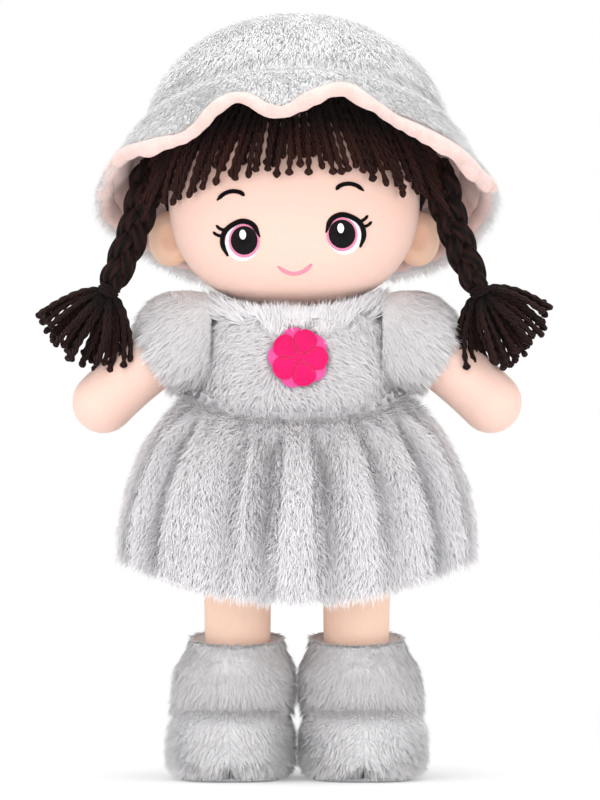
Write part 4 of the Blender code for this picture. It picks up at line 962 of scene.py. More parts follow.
@dataclass(frozen=True)
class Form:
    """A stuffed form, an egg whose fullness is set round and upright, narrowed by height.

    A direction is cut to length by its flat size, the a-th root of the sum of x and y to the power a,
    and by its size, the b-th root of the flat size and z to the power b; 2 is an ellipsoid.
    """

    centre: tuple[float, float, float]
    half_width: float
    half_depth: float
    rise: float
    drop: float
    round_fullness: float = 2.25
    upright_fullness: float = 2.25
    taper: tuple[tuple[float, float], ...] = ((0.0, 1.0), (1.0, 1.0))
    taper_low: float = 0.0
    taper_high: float = 1.0

    def width_share(self, z: Array) -> Array:
        """How wide the form is at a height, as a share."""
        return eased_table((z - self.taper_low) / (self.taper_high - self.taper_low), self.taper)

    def at(self, way: Array, grow: float | Array = 0.0) -> Array:
        """The surface's point in a direction.

        Args:
            way: Directions from the middle, as (..., 3).
            grow: How far the surface is moved out.

        Returns:
            The points.
        """
        x, y, z = np.moveaxis(way, -1, 0)
        size = oval_size(oval_size(x, y, self.round_fullness), z, self.upright_fullness)
        height = self.centre[2] + (np.where(z > 0.0, self.rise, self.drop) + grow) * z / size
        share = self.width_share(height)
        return points_at(self.centre[0] + (self.half_width * share + grow) * x / size,
                         self.centre[1] + (self.half_depth * share + grow) * y / size, height)

    def turned(self, turn: Array, lift: Array, grow: float | Array = 0.0) -> Array:
        """The surface's point at a turn from the front and a lift from level."""
        flat = np.cos(lift)
        return self.at(points_at(flat * np.sin(turn), -flat * np.cos(turn), np.sin(lift)), grow)

    def level(self, z: Array) -> Array:
        """How far a level slice at a height reaches, as a share of the widest."""
        aside = np.abs(z - self.centre[2]) / np.where(z > self.centre[2], self.rise, self.drop)
        return np.maximum(1.0 - aside**self.upright_fullness, 0.0) ** (1.0 / self.upright_fullness)

    def around(self, turn: Array, z: Array, grow: float | Array = 0.0) -> Array:
        """The surface's point at a height.

        Args:
            turn: Turns from the front.
            z: Heights.
            grow: How far the surface is moved out.

        Returns:
            The points.
        """
        x, y = np.sin(turn), -np.cos(turn)
        flat = oval_size(x, y, self.round_fullness)
        share, reach = self.width_share(z), self.level(z)
        return points_at(self.centre[0] + (self.half_width * share + grow) * x / flat * reach,
                         self.centre[1] + (self.half_depth * share + grow) * y / flat * reach, z)

    def front(self, x: Array, z: Array, grow: float | Array = 0.0) -> Array:
        """The front's point behind a place on the picture plane.

        Args:
            x: Places across.
            z: Heights.
            grow: How far the surface is moved out.

        Returns:
            The points.
        """
        a, share = self.round_fullness, self.width_share(z)
        aside = np.abs(x - self.centre[0]) / (self.half_width * share + grow)
        deep = np.maximum(self.level(z) ** a - aside**a, 0.0) ** (1.0 / a)
        return points_at(x, self.centre[1] - (self.half_depth * share + grow) * deep, z)

    def closed_net(self, columns: int, rows: int, grow: float = 0.0,
                   shape: Callable[[Array], Array] | None = None) -> Net:
        """The whole form as a closed net, each pole one point.

        Args:
            columns: Points round it.
            rows: Rings from the lower pole to the upper one.
            grow: How far the surface is moved out.
            shape: What is done to the points, or None.

        Returns:
            The net.
        """
        shape = shape or (lambda points: points)
        edge = QUARTER_TURN * (1.0 - 1.0 / rows)
        turn, lift = rings(columns, np.linspace(-edge, edge, rows))
        poles = [shape(self.at(np.array((0.0, 0.0, way)), grow)) for way in (-1.0, 1.0)]
        return net_of(shape(self.turned(turn, lift, grow)), True, *poles)


TORSO_TAPER = ((0.0, 0.86), (0.2, 0.96), (0.46, 1.0), (0.62, 0.955), (0.73, 0.93), (1.0, 0.93))
HEAD = Form((-0.0015, -0.0020, 0.3020), 0.0655, 0.0540, 0.0790, 0.0575)
TORSO = Form((0.0, 0.0, 0.19555), 0.0470, 0.0330, 0.04245, 0.04245, 2.3, 5.0, TORSO_TAPER, 0.1531, 0.2380)
WAIST = 0.1917


@dataclass
class Stuffed:
    """The stuffed parts that carry the clothes: head, neck, trunk, arms and legs."""

    neck_radius: float = 0.0150
    neck_stem_radius: float = 0.0112
    neck_height: float = 0.2500
    neck_back: float = 0.0040
    shoulder: tuple[float, float] = (0.0438, 0.2290)
    sleeve_end: float = 0.0495
    elbow_share: float = 0.18
    hand: tuple[float, float] = (0.1010, 0.1960)
    wrist_radius: float = 0.0135
    hand_radius: float = 0.0162
    swell_share: float = 0.62
    leg_x: float = 0.0310
    hip: float = 0.1374
    ankle: float = 0.0388
    leg_radius: float = 0.0178
    leg_shares: tuple = ((0.0, 1.0), (0.25, 1.02), (0.55, 0.97), (0.8, 0.94), (1.0, 0.92))
    ear_side: float = 0.0645
    ear_size: tuple[float, float, float] = (0.0115, 0.0062, 0.0145)
    ear_centre: tuple[float, float] = (0.0085, 0.2815)
    ear_hollow: float = 0.0034
    ear_cup_share: float = 0.62
    ear_fullness: float = 2.1
    rows: int = 60
    root_rows: int = 5
    cap_rows: int = 16
    cap_gap: float = 0.12
    sides: int = 64

    def build(self) -> bpy.types.Object:
        """Builds every stuffed part and returns the head, which carries the face."""
        self.trunk()
        for name, side in SIDES.items():
            self.arm(name, side)
            self.leg(name, side)
        return self.head()

    def trunk(self) -> None:
        """The trunk and the neck's ball and stem."""
        stuffed("torso", TORSO.closed_net(96, 64), SKIN, ["torso_cover", "torso_filling"], "torso")
        height = np.linspace(-1.0, 1.0, 40)
        ball = self.neck_radius * np.sqrt(np.maximum(1.0 - height**2, 0.02))
        radius = np.where(height < 0.0, np.maximum(ball, self.neck_stem_radius * (1.0 + 0.05 * height)), ball)
        path = points_at(0.0, self.neck_back, self.neck_height + height * self.neck_radius)
        stuffed("neck_ball", tube_net(path, radius, 48, AHEAD), SKIN, ["neck"], "neck")

    def head(self) -> bpy.types.Object:
        """Builds the head, an even stuffed form, and its two ears.

        Returns:
            The head.
        """
        fills = ["head_cover", "head_filling"]
        head = stuffed("head_skin", HEAD.closed_net(160, 120), SKIN, fills, "head")
        for name, side in SIDES.items():
            self.ear(name, side)
        return head

    def ear(self, name: str, side: float) -> None:
        """An ear: a small full form whose front is hollowed.

        Args:
            name: Which side's.
            side: -1 for the left, 1 for the right.
        """
        wide, deep, tall = self.ear_size
        centre = np.array((HEAD.centre[0] + side * self.ear_side, *self.ear_centre))
        form = Form(tuple(centre), wide, deep, tall, tall, self.ear_fullness, self.ear_fullness)

        def cupped(points: Array) -> Array:
            """Pushes the front back where it is near the ear's middle, by the square of the nearness."""
            reach = np.array((wide, tall)) * self.ear_cup_share
            away = np.linalg.norm((points[..., (0, 2)] - centre[[0, 2]]) / reach, axis=-1)
            near = np.maximum(1.0 - away**2, 0.0) ** 2
            push = np.where(points[..., 1] < centre[1], near * self.ear_hollow, 0.0)
            return points + push[..., None] * -AHEAD

        net = form.closed_net(72, 48, 0.0, cupped)
        stuffed(f"{name}_ear_skin", net, EAR_SKIN, [f"{name}_ear"], "head")

    def arm(self, name: str, side: float) -> None:
        """An arm: a tube that leaves the sleeve level and bends down to a round hand.

        The middle line runs straight to the sleeve's end, then along a quadratic curve by the elbow.

        Args:
            name: Which side's.
            side: -1 for the left, 1 for the right.
        """
        share = np.linspace(0.0, 1.0, self.rows)[:, None]
        start = np.array((self.sleeve_end, 0.0, self.shoulder[1]))
        end = np.array((self.hand[0], 0.0, self.hand[1]))
        bend = np.array((start[0] + (end[0] - start[0]) * self.elbow_share * 2.0, 0.0, self.shoulder[1]))
        inside = np.linspace(self.shoulder[0], self.sleeve_end, self.root_rows)[:-1]
        cap = np.linspace(0.0, QUARTER_TURN - self.cap_gap, self.cap_rows)[1:]
        tip = end + unit(end - bend) * self.hand_radius * np.sin(cap)[:, None]
        path = np.concatenate((points_at(inside, 0.0, self.shoulder[1]), bent(start, bend, end, share), tip))
        grown = self.hand_radius - self.wrist_radius
        swell = self.wrist_radius + grown * eased(share[:, 0] / self.swell_share)
        wrist = np.full(len(inside), self.wrist_radius)
        radius = np.concatenate((wrist, swell, self.hand_radius * np.cos(cap)))
        path[:, 0] *= side
        net = tube_net(path, radius, self.sides, AHEAD, cap_share=0.06)
        fills = [f"{name}_arm_cover", f"{name}_arm_filling"]
        stuffed(f"{name}_arm", net, LIMB_SKIN, fills, f"{name}_arm")

    def leg(self, name: str, side: float) -> None:
        """A leg: a straight stuffed tube with a round top.

        Args:
            name: Which side's.
            side: -1 for the left, 1 for the right.
        """
        share = np.linspace(0.0, 1.0, self.rows)
        cap = np.linspace(QUARTER_TURN - self.cap_gap, 0.0, self.cap_rows)[:-1]
        radius = self.leg_radius * np.concatenate((np.cos(cap), eased_table(share, self.leg_shares)))
        height = np.concatenate((self.leg_radius * np.sin(cap), (self.ankle - self.hip) * share)) + self.hip
        net = tube_net(points_at(side * self.leg_x, 0.0, height), radius, self.sides, AHEAD)
        fills = [f"{name}_leg_cover", f"{name}_leg_filling"]
        stuffed(f"{name}_leg", net, LEG_SKIN, fills, f"{name}_leg")


@dataclass
class StitchedFace:
    """The face: embroidered eyes, lids, lashes, brows and mouth on the front of the head."""

    middle: tuple[float, float] = (-0.0020, 0.2807)
    lean: float = math.radians(3.7)
    spacing: float = 0.0252
    eye: tuple[float, float] = (0.0080, 0.0086)
    lift: float = 0.0004
    white_shift: tuple[float, float] = (0.0011, -0.0009)
    white: tuple[float, float] = (0.0087, 0.0096)
    pupil: tuple[float, float] = (0.0069, 0.0073)
    shine: tuple[float, float] = (0.0017, 0.0025)
    shine_shift: tuple[float, float] = (-0.0005, 0.0030)
    lid_points: tuple = ((-1.12, -0.84), (-1.40, -0.05), (-1.13, 0.68), (-0.17, 1.14), (0.62, 0.90),
                         (1.02, 0.14))
    lash_points: tuple = (((-1.15, 0.66), (-1.50, 0.80), (-1.76, 1.04)),
                          ((-1.34, 0.34), (-1.70, 0.44), (-1.99, 0.66)))
    brow_points: tuple = ((-1.58, 2.50), (-1.12, 2.84), (-0.60, 2.97), (-0.08, 2.88), (0.20, 2.66))
    lid_radius: float = 0.00138
    lash_radius: float = 0.00085
    brow_radius: float = 0.00112
    mouth: tuple[float, float, float] = (0.0087, 0.0041, 0.0160)
    mouth_radius: float = 0.00110
    stitch: float = 0.00065
    stitch_ridge: float = 0.10
    edge_sink: float = 0.0008
    thread_rows: int = 180
    thinning: float = 5.0

    def placed(self, across: Array, up: Array, grow: float | Array) -> Array:
        """A place measured from between the eyes, leaned and laid on the head's front."""
        cos, sin = math.cos(self.lean), math.sin(self.lean)
        x = self.middle[0] + across * cos - up * sin
        return HEAD.front(x, self.middle[1] + across * sin + up * cos, grow)

    def patch(self, across: float, up: float, wide: float, tall: float, grow: float, thick: float) -> Net:
        """A raised round patch: rings about its middle, domed as the square root falls to its edge.

        Args:
            across: Its middle's place, across from between the eyes.
            up: And up from there.
            wide: Half its width.
            tall: Half its height.
            grow: How far its edge stands off the head.
            thick: How much further its middle does.

        Returns:
            The patch, whose last ring lies in the head.
        """
        angle, ring = rings(56, np.sin(np.linspace(0.04, 1.0, 14) * QUARTER_TURN))
        x, z = across + wide * ring * np.cos(angle), up + tall * ring * np.sin(angle)
        points = self.placed(x, z, grow + thick * dome(ring))
        sunk = self.placed(x[-1:], z[-1:], -self.edge_sink)
        centre = self.placed(np.array(across), np.array(up), grow + thick)
        return net_of(np.concatenate((points, sunk)), True, centre, turned=True)

    def thread(self, places: Array, radius: float, tapers: tuple[float, float], flat: float = 0.55) -> Net:
        """A raised row of stitches through places, thinned to its ends and ridged by each stitch.

        Args:
            places: Places on the face, in order.
            radius: The thread's half width.
            tapers: How thick each end is, as a share.
            flat: Its thickness over its width.

        Returns:
            The thread.
        """
        line = flowing(np.pad(places, ((0, 0), (0, 1))), self.thread_rows)
        share = np.linspace(0.0, 1.0, self.thread_rows)
        ends = (tapers[0] + share * self.thinning, tapers[1] + (1.0 - share) * self.thinning)
        thin = np.minimum(np.minimum(*ends), 1.0)
        length = np.linalg.norm(np.diff(line, axis=0), axis=1).sum()
        thin = thin * (1.0 + self.stitch_ridge * np.sin(share * length / self.stitch * FULL_TURN))
        path = self.placed(line[:, 0], line[:, 1], self.lift * 0.6)
        return tube_net(path, radius * thin, 14, AHEAD, flat_share=flat)

    def build(self, head: bpy.types.Object) -> None:
        """Sews every part of the face to the head.

        Args:
            head: The piece that carries the face.
        """
        for name, side in SIDES.items():
            self.sew_eye(name, side, head)
        wide, sag, below = self.mouth
        across = np.linspace(-1.0, 1.0, 9)
        places = np.stack((across * wide, -below - sag * (1.0 - across**2) + sag * 0.4), axis=-1)
        mouth = self.thread(places, self.mouth_radius, (0.35, 0.35), 0.6)
        carried(made("mouth_stitch", mouth, LIP_THREAD, ["mouth"]), head)

    def sew_eye(self, name: str, side: float, head: bpy.types.Object) -> None:
        """One eye: white, ring, pupil and highlight, one over the other, then lid, lashes and brow.

        Args:
            name: Which side's.
            side: -1 for the left, 1 for the right.
            head: The piece that carries it.
        """
        wide, tall = self.eye
        out = side * self.spacing

        def seen(points: Sequence[tuple[float, float]]) -> Array:
            """Shares of the eye, negative on the outer side, as places on the face."""
            table = np.array(points)
            return np.stack((out - side * table[:, 0] * wide, table[:, 1] * tall), axis=-1)

        right, up = self.white_shift
        white = self.patch(out + side * right, up, *self.white, self.lift - 0.0002, 0.0003)
        shine = self.patch(out + self.shine_shift[0], self.shine_shift[1], *self.shine, self.lift + 0.0011,
                           0.0004)
        carried(made(f"{name}_eye_white", white, WHITE_THREAD), head)
        carried(made(f"{name}_eye_shine", shine, SHINE_THREAD), head)
        ring = self.patch(out, -0.0002, wide, tall, self.lift + 0.0001, 0.0003)
        carried(made(f"{name}_eye_ring", ring, PINK_THREAD, [f"{name}_eye"]), head)
        pupil = self.patch(out, 0.0, *self.pupil, self.lift + 0.0004, 0.0004)
        carried(made(f"{name}_eye_pupil", pupil, BLACK_THREAD), head)
        lid = self.thread(seen(self.lid_points), self.lid_radius, (0.45, 0.35), 0.6)
        lashes = [self.thread(seen(points), self.lash_radius, (1.0, 0.15)) for points in self.lash_points]
        threads = joined([lid, *lashes])
        carried(made(f"{name}_lid_and_lashes", threads, BLACK_THREAD, [f"{name}_lashes"]), head)
        brow = self.thread(seen(self.brow_points), self.brow_radius, (0.35, 0.5))
        carried(made(f"{name}_brow_stitch", brow, BLACK_THREAD, [f"{name}_brow"]), head)


class Layer(Enum):
    """The two layers of the fringe and how far their strands lie off the head."""

    UNDER = 0.0020
    OVER = 0.0043


@dataclass
class YarnHair:
    """The yarn hair: a sewn cap, strands from the parting, the fringe, two plaits and their tassels."""

    strand: float = 0.00143
    ply_pitch: float = 0.0056
    cap_grow: float = 0.0030
    hairline: tuple[float, float] = (0.056, -0.040)
    fringe_turn: float = math.radians(80.0)
    fringe_top: float = 0.3560
    fringe_strands: int = 72
    tips: tuple = ((-1.0, 0.0), (-0.72, -0.06), (-0.42, 0.13), (-0.10, 0.20), (0.10, 0.22), (0.45, 0.17),
                   (0.72, 0.03), (1.0, -0.02))
    tip_scale: float = 0.056
    tip_spread: tuple[float, float] = (-0.0028, 0.0024)
    under_rise: float = 0.0060
    hair_front: float = -0.056
    hair_depth: float = 0.108
    parted_strands: int = 58
    parted_radius: float = 0.00165
    parted_arc: tuple[float, float] = (52.0, 213.0)
    parting_width: float = 0.035
    parted_fan: tuple[float, float] = (0.07, 0.05)
    parted_rise: tuple[float, float] = (0.0010, 0.0045)
    plait_root: tuple[float, float] = (-0.0120, 0.3220)
    plait_out: float = 0.07547
    plait_length: float = 0.0700
    plait_flare: float = 0.0220
    plait_sway: float = 0.0040
    plait_depth: float = 0.0030
    bundle: float = 0.0045
    crossings: float = 1.75
    tie_radius: float = 0.0059
    tassel_strands: int = 52
    tassel_length: float = 0.0420
    tassel_fan: tuple[float, float] = (74.0, -17.0)
    tassel_lift: tuple[float, float] = (0.0, 9.0)
    tassel_lead: tuple[float, float] = (126.0, -70.0)
    tassel_radius: float = 0.00135
    tie_share: tuple[float, float] = (0.935, 1.010)
    bundle_swell: tuple = ((0.0, 0.55), (0.16, 1.08), (0.55, 1.0), (0.86, 0.92), (1.0, 0.52))

    def build(self) -> None:
        """Builds all the hair."""
        self.cap()
        self.fringe()
        for name, side in SIDES.items():
            self.plait(name, side)
            self.tassel(name, side)

    def twisted(self, paths: Array, radius: float, seed: int, sides: int = 8, ball: float = 1.42) -> Net:
        """Twisted strands whose ends are knotted: the radius swells to a ball in the last stretch.

        Args:
            paths: (strips, rows, 3), with more rows near the end.
            radius: The strand's radius.
            seed: Which tones are drawn.
            sides: Points round a strand.
            ball: The knot's radius over the strand's.

        Returns:
            The strands as one net.
        """
        run = run_of(paths)
        left = run[:, -1:] - run
        knot = radius * ball
        away = np.abs(left - knot) / knot
        round_end = np.sqrt(np.maximum(1.0 - away**2, 0.02)) * knot
        body = radius * (1.0 - 0.14 * eased((3.2 * knot - left) / knot))
        beyond = np.maximum(body, np.where(left < 2.0 * knot, round_end, 0.0))
        radii = np.where(left < knot, round_end, beyond)
        chance = np.random.default_rng(seed)
        tone = chance.uniform(size=len(paths))
        return tube_net(paths, radii, sides, AHEAD + UP * 0.2, 2, 0.20, FULL_TURN / self.ply_pitch, tone=tone)

    def rows(self, count: int) -> Array:
        """Shares along a strand, closer together near its end."""
        close, last = 9, 0.14
        body = np.linspace(0.0, 1.0 - last, count - close, endpoint=False)
        return np.concatenate((body, 1.0 - last + last * np.sin(np.linspace(0.0, 1.0, close) * QUARTER_TURN)))

    def cap(self) -> None:
        """The sewn base over the head, and the strands laid on it from the parting to each plait."""
        turn, lift = rings(120, np.linspace(0.0, 1.0, 40))
        edge = self.edge_lift(turn[0])
        outer = HEAD.turned(turn, edge + (QUARTER_TURN - 0.03 - edge) * lift, self.cap_grow)
        inner = HEAD.turned(turn[0], edge, 0.0002)
        base = net_of(np.concatenate((inner[None], outer)), True, None, HEAD.at(UP, self.cap_grow))
        cap = stuffed("hair_base", base, HAIR_BASE, ["hair_cap"], "head")
        for name, side in SIDES.items():
            carried(made(f"{name}_parted_strands", self.parted(side), HAIR), cap)

    def edge_lift(self, turn: Array) -> Array:
        """The lift at which the cap ends, found by halving between low and high for each turn.

        Args:
            turn: Turns from the front.

        Returns:
            The lift at each turn, where the cap meets a line that falls towards the back.
        """
        front, back = self.hairline
        low, high = np.full(turn.shape, -1.2), np.full(turn.shape, 1.4)
        for _ in range(30):
            half = (low + high) / 2.0
            point = HEAD.turned(turn, half, self.cap_grow)
            share = (point[..., 1] - self.hair_front) / self.hair_depth
            above = point[..., 2] > HEAD.centre[2] + front + (back - front) * share
            high, low = np.where(above, half, high), np.where(above, low, half)
        return (low + high) / 2.0

    def parted(self, side: float) -> Net:
        """Strands from the parting over the head to a plait: each turns evenly from one way to the other.

        Args:
            side: -1 for the left, 1 for the right.

        Returns:
            The strands.
        """
        count = self.parted_strands
        chance = np.random.default_rng(31 + int(side))
        tilt = np.radians(np.linspace(*self.parted_arc, count))
        start = unit(points_at(side * self.parting_width, -np.cos(tilt), np.sin(tilt)))[:, None]
        root = np.array((side * self.plait_out, self.plait_root[0] - HEAD.centre[1] + 0.004,
                         self.plait_root[1] - HEAD.centre[2]))
        spread = np.linspace(-1.0, 1.0, count)
        fan = points_at(0.0, self.parted_fan[0] * spread, -self.parted_fan[1] * np.abs(spread))
        end = unit(unit(root)[None] + fan)[:, None]
        share = self.rows(34)
        wide = np.arccos(np.clip((start * end).sum(-1, keepdims=True), -1.0, 1.0))
        part = share[None, :, None]
        way = (start * np.sin((1.0 - part) * wide) + end * np.sin(part * wide)) / np.sin(wide)
        rise = self.parted_rise[0] + self.parted_rise[1] * eased((share - 0.78) / 0.22)
        grow = self.cap_grow + rise + chance.uniform(-0.0004, 0.0006, (count, 1))
        return self.twisted(HEAD.at(way, grow), self.parted_radius, 37, 8, 1.0)

    def fringe(self) -> None:
        """The fringe: two layers of strands that fall over the forehead and fan out to the sides."""
        nets = []
        for layer in Layer:
            count = self.fringe_strands // 2
            chance = np.random.default_rng(41 if layer is Layer.OVER else 42)
            share = np.linspace(-1.0, 1.0, count) + (1.0 / count if layer is Layer.UNDER else 0.0)
            share = np.clip(share + chance.normal(size=count) * 0.25 / count, -1.0, 1.0)
            tip_turn = share * self.fringe_turn
            tip_z = HEAD.centre[2] + self.tip_scale * eased_table(share, self.tips)
            tip_z = tip_z + chance.uniform(*self.tip_spread, count)
            tip_z = tip_z + (self.under_rise if layer is Layer.UNDER else 0.0)
            along = self.rows(64)[None]
            fan = 0.66 + 0.34 * along + 0.05 * chance.normal(size=(count, 1)) * along
            z = self.fringe_top + (tip_z[:, None] - self.fringe_top) * along
            grow = layer.value + 0.0007 * np.sin(along * 2.6 + chance.uniform(0.0, 6.0, (count, 1)))
            wander = 0.012 * np.sin(along * 4.0 + chance.uniform(0.0, 6.0, (count, 1)))
            turn = tip_turn[:, None] * fan + wander
            nets.append(self.twisted(HEAD.around(turn, z, grow), self.strand, 43))
        for side in (-1.0, 1.0):
            nets += [self.side_locks(side), self.gathered_locks(side)]
        stuffed("fringe_strands", joined(nets), HAIR, ["fringe"], "head")

    def locks(self, top: Array, between: Array, end: Array, rows: int, thick: float, seed: int) -> Net:
        """Strands along bent lines.

        Args:
            top: Where each starts.
            between: What each is drawn towards.
            end: Where each ends.
            rows: Points along each.
            thick: Its radius over the fringe's.
            seed: Which tones are drawn.

        Returns:
            The strands, with plain ends.
        """
        paths = bent(top[:, None], between[:, None], end[:, None], self.rows(rows)[None, :, None])
        return self.twisted(paths, self.strand * thick, seed, 8, 1.0)

    def side_locks(self, side: float) -> Net:
        """Strands that sweep from under the hat to the plait's root, along a bent line over the head.

        Args:
            side: -1 for the left, 1 for the right.

        Returns:
            The strands.
        """
        count = 20
        chance = np.random.default_rng(53)
        turn = side * np.radians(np.linspace(50.0, 112.0, count))
        top = HEAD.around(turn, np.full(count, 0.356), 0.0052)
        root = np.array((side * self.plait_out + HEAD.centre[0], self.plait_root[0],
                         self.plait_root[1] - 0.006))
        middle_turn = side * np.radians(np.linspace(66.0, 104.0, count))
        between = HEAD.around(middle_turn, 0.340 - 0.006 * np.linspace(1.0, 0.0, count), 0.0075)
        end = root + chance.normal(size=(count, 3)) * np.array((0.0012, 0.0022, 0.0016))
        return self.locks(top, between, end, 30, 1.05, 57)

    def gathered_locks(self, side: float) -> Net:
        """Strands from the fringe's end that bend out over the temple and run into the plait.

        Args:
            side: -1 for the left, 1 for the right.

        Returns:
            The strands.
        """
        count = 22
        chance = np.random.default_rng(59)
        spread = np.linspace(0.0, 1.0, count)
        turn = side * np.radians(46.0 + 34.0 * spread)
        top = HEAD.around(turn, np.full(count, 0.352), 0.0062)
        mid_turn = side * np.radians(66.0 + 12.0 * spread)
        between = HEAD.around(mid_turn, 0.318 + 0.012 * spread, 0.0070 + 0.0010 * chance.uniform(size=count))
        end = self.plait_line(side, 0.20 + 0.26 * chance.uniform(size=count))
        end = end + AHEAD * 0.0030 + chance.normal(size=(count, 3)) * np.array((0.0011, 0.0009, 0.0009))
        return self.locks(top, between, end, 34, 1.02, 61)

    def plait_line(self, side: float, share: Array) -> Array:
        """The plait's middle line: down, and out by a power of the share."""
        root = np.array((side * self.plait_out + HEAD.centre[0], *self.plait_root))
        return root + points_at(side * self.plait_flare * share**1.6, 0.0, -self.plait_length * share)

    def plait(self, name: str, side: float) -> None:
        """Three bundles of yarn that cross in turn, and the wound tie at their end.

        Each bundle sways by the sine of its turn and comes forward by the sine of twice its turn.

        Args:
            name: Which side's.
            side: -1 for the left, 1 for the right.
        """
        share = np.linspace(0.0, 1.0, 130)
        line = self.plait_line(side, share)
        swell = eased_table(share, self.bundle_swell)
        nets = []
        for strand in range(3):
            turn = FULL_TURN * (self.crossings * share + strand / 3.0)
            sway = self.plait_sway * np.sin(turn) * swell
            depth = self.plait_depth * np.sin(2.0 * turn) * swell
            across = unit(np.cross(np.gradient(line, axis=0), AHEAD))
            path = line + across * sway[:, None] + AHEAD * depth[:, None]
            nets.append(tube_net(path, self.bundle * swell, 48, AHEAD, 8, 0.14, side * FULL_TURN / 0.030,
                                 tone=np.array([0.15 * strand])))
        plait = stuffed(f"{name}_plait_yarn", joined(nets), PLAIT_HAIR, [f"{name}_plait"],
                        f"{name}_braid")
        end = self.plait_line(side, np.array(self.tie_share))
        along = np.linspace(0.0, 1.0, 37)
        path = end[0] + (end[1] - end[0]) * along[:, None]
        radius = self.tie_radius * (0.84 + 0.16 * np.abs(np.sin(along * 3.0 * math.pi)))
        radius[[0, -1]] *= 0.6
        tie = made(f"{name}_tie_band", tube_net(path, radius, 40, AHEAD), PLAIT_HAIR, [f"{name}_tie"])
        carried(tie, plait)

    def tassel(self, name: str, side: float) -> None:
        """The loose ends below the tie, which fan from almost level outside to straight down inside.

        Args:
            name: Which side's.
            side: -1 for the left, 1 for the right.
        """
        count = self.tassel_strands
        chance = np.random.default_rng(61 + int(side))
        neck = self.plait_line(side, np.array((0.985,)))[0]
        share = (np.arange(count) + 0.5) / count
        lift = self.tassel_lift[int(side > 0.0)] * (1.0 - share)
        fall = np.interp(share, (0.0, 1.0), self.tassel_fan)
        fall = np.radians(fall + lift + chance.normal(size=count) * 2.5)
        lead = np.interp(share, (0.0, 1.0), self.tassel_lead)
        lead = np.radians(lead + lift * 2.0 + chance.normal(size=count) * 4.0)
        deep = chance.uniform(-1.0, 1.0, count) * (0.30 + 0.7 * np.sin(share * math.pi))
        way = unit(points_at(side * np.sin(fall), deep * 0.42, -np.cos(fall)))
        first = unit(points_at(side * np.sin(lead), deep * 0.9, -np.cos(lead)))
        size = self.tassel_length * chance.uniform(0.90, 1.03, count)[:, None]
        size = size * (1.0 - 0.10 * np.sin(fall) ** 2)[:, None]
        start = neck + first * 0.0024
        bend = neck + first * size * 0.30 + way * size * 0.22
        tip = neck + way * size
        part = self.rows(48)[None, :, None]
        paths = bent(start[:, None], bend[:, None], tip[:, None], part)
        wobble = chance.uniform(0.0, 6.0, (count, 1, 1))
        paths = paths + 0.0006 * np.sin(part * 5.0 + wobble) * np.sin(part * math.pi) * SIDEWAYS
        net = self.twisted(paths, self.tassel_radius, 67)
        stuffed(f"{name}_tassel_strands", net, TASSEL_HAIR, [f"{name}_tassel"], f"{name}_braid")


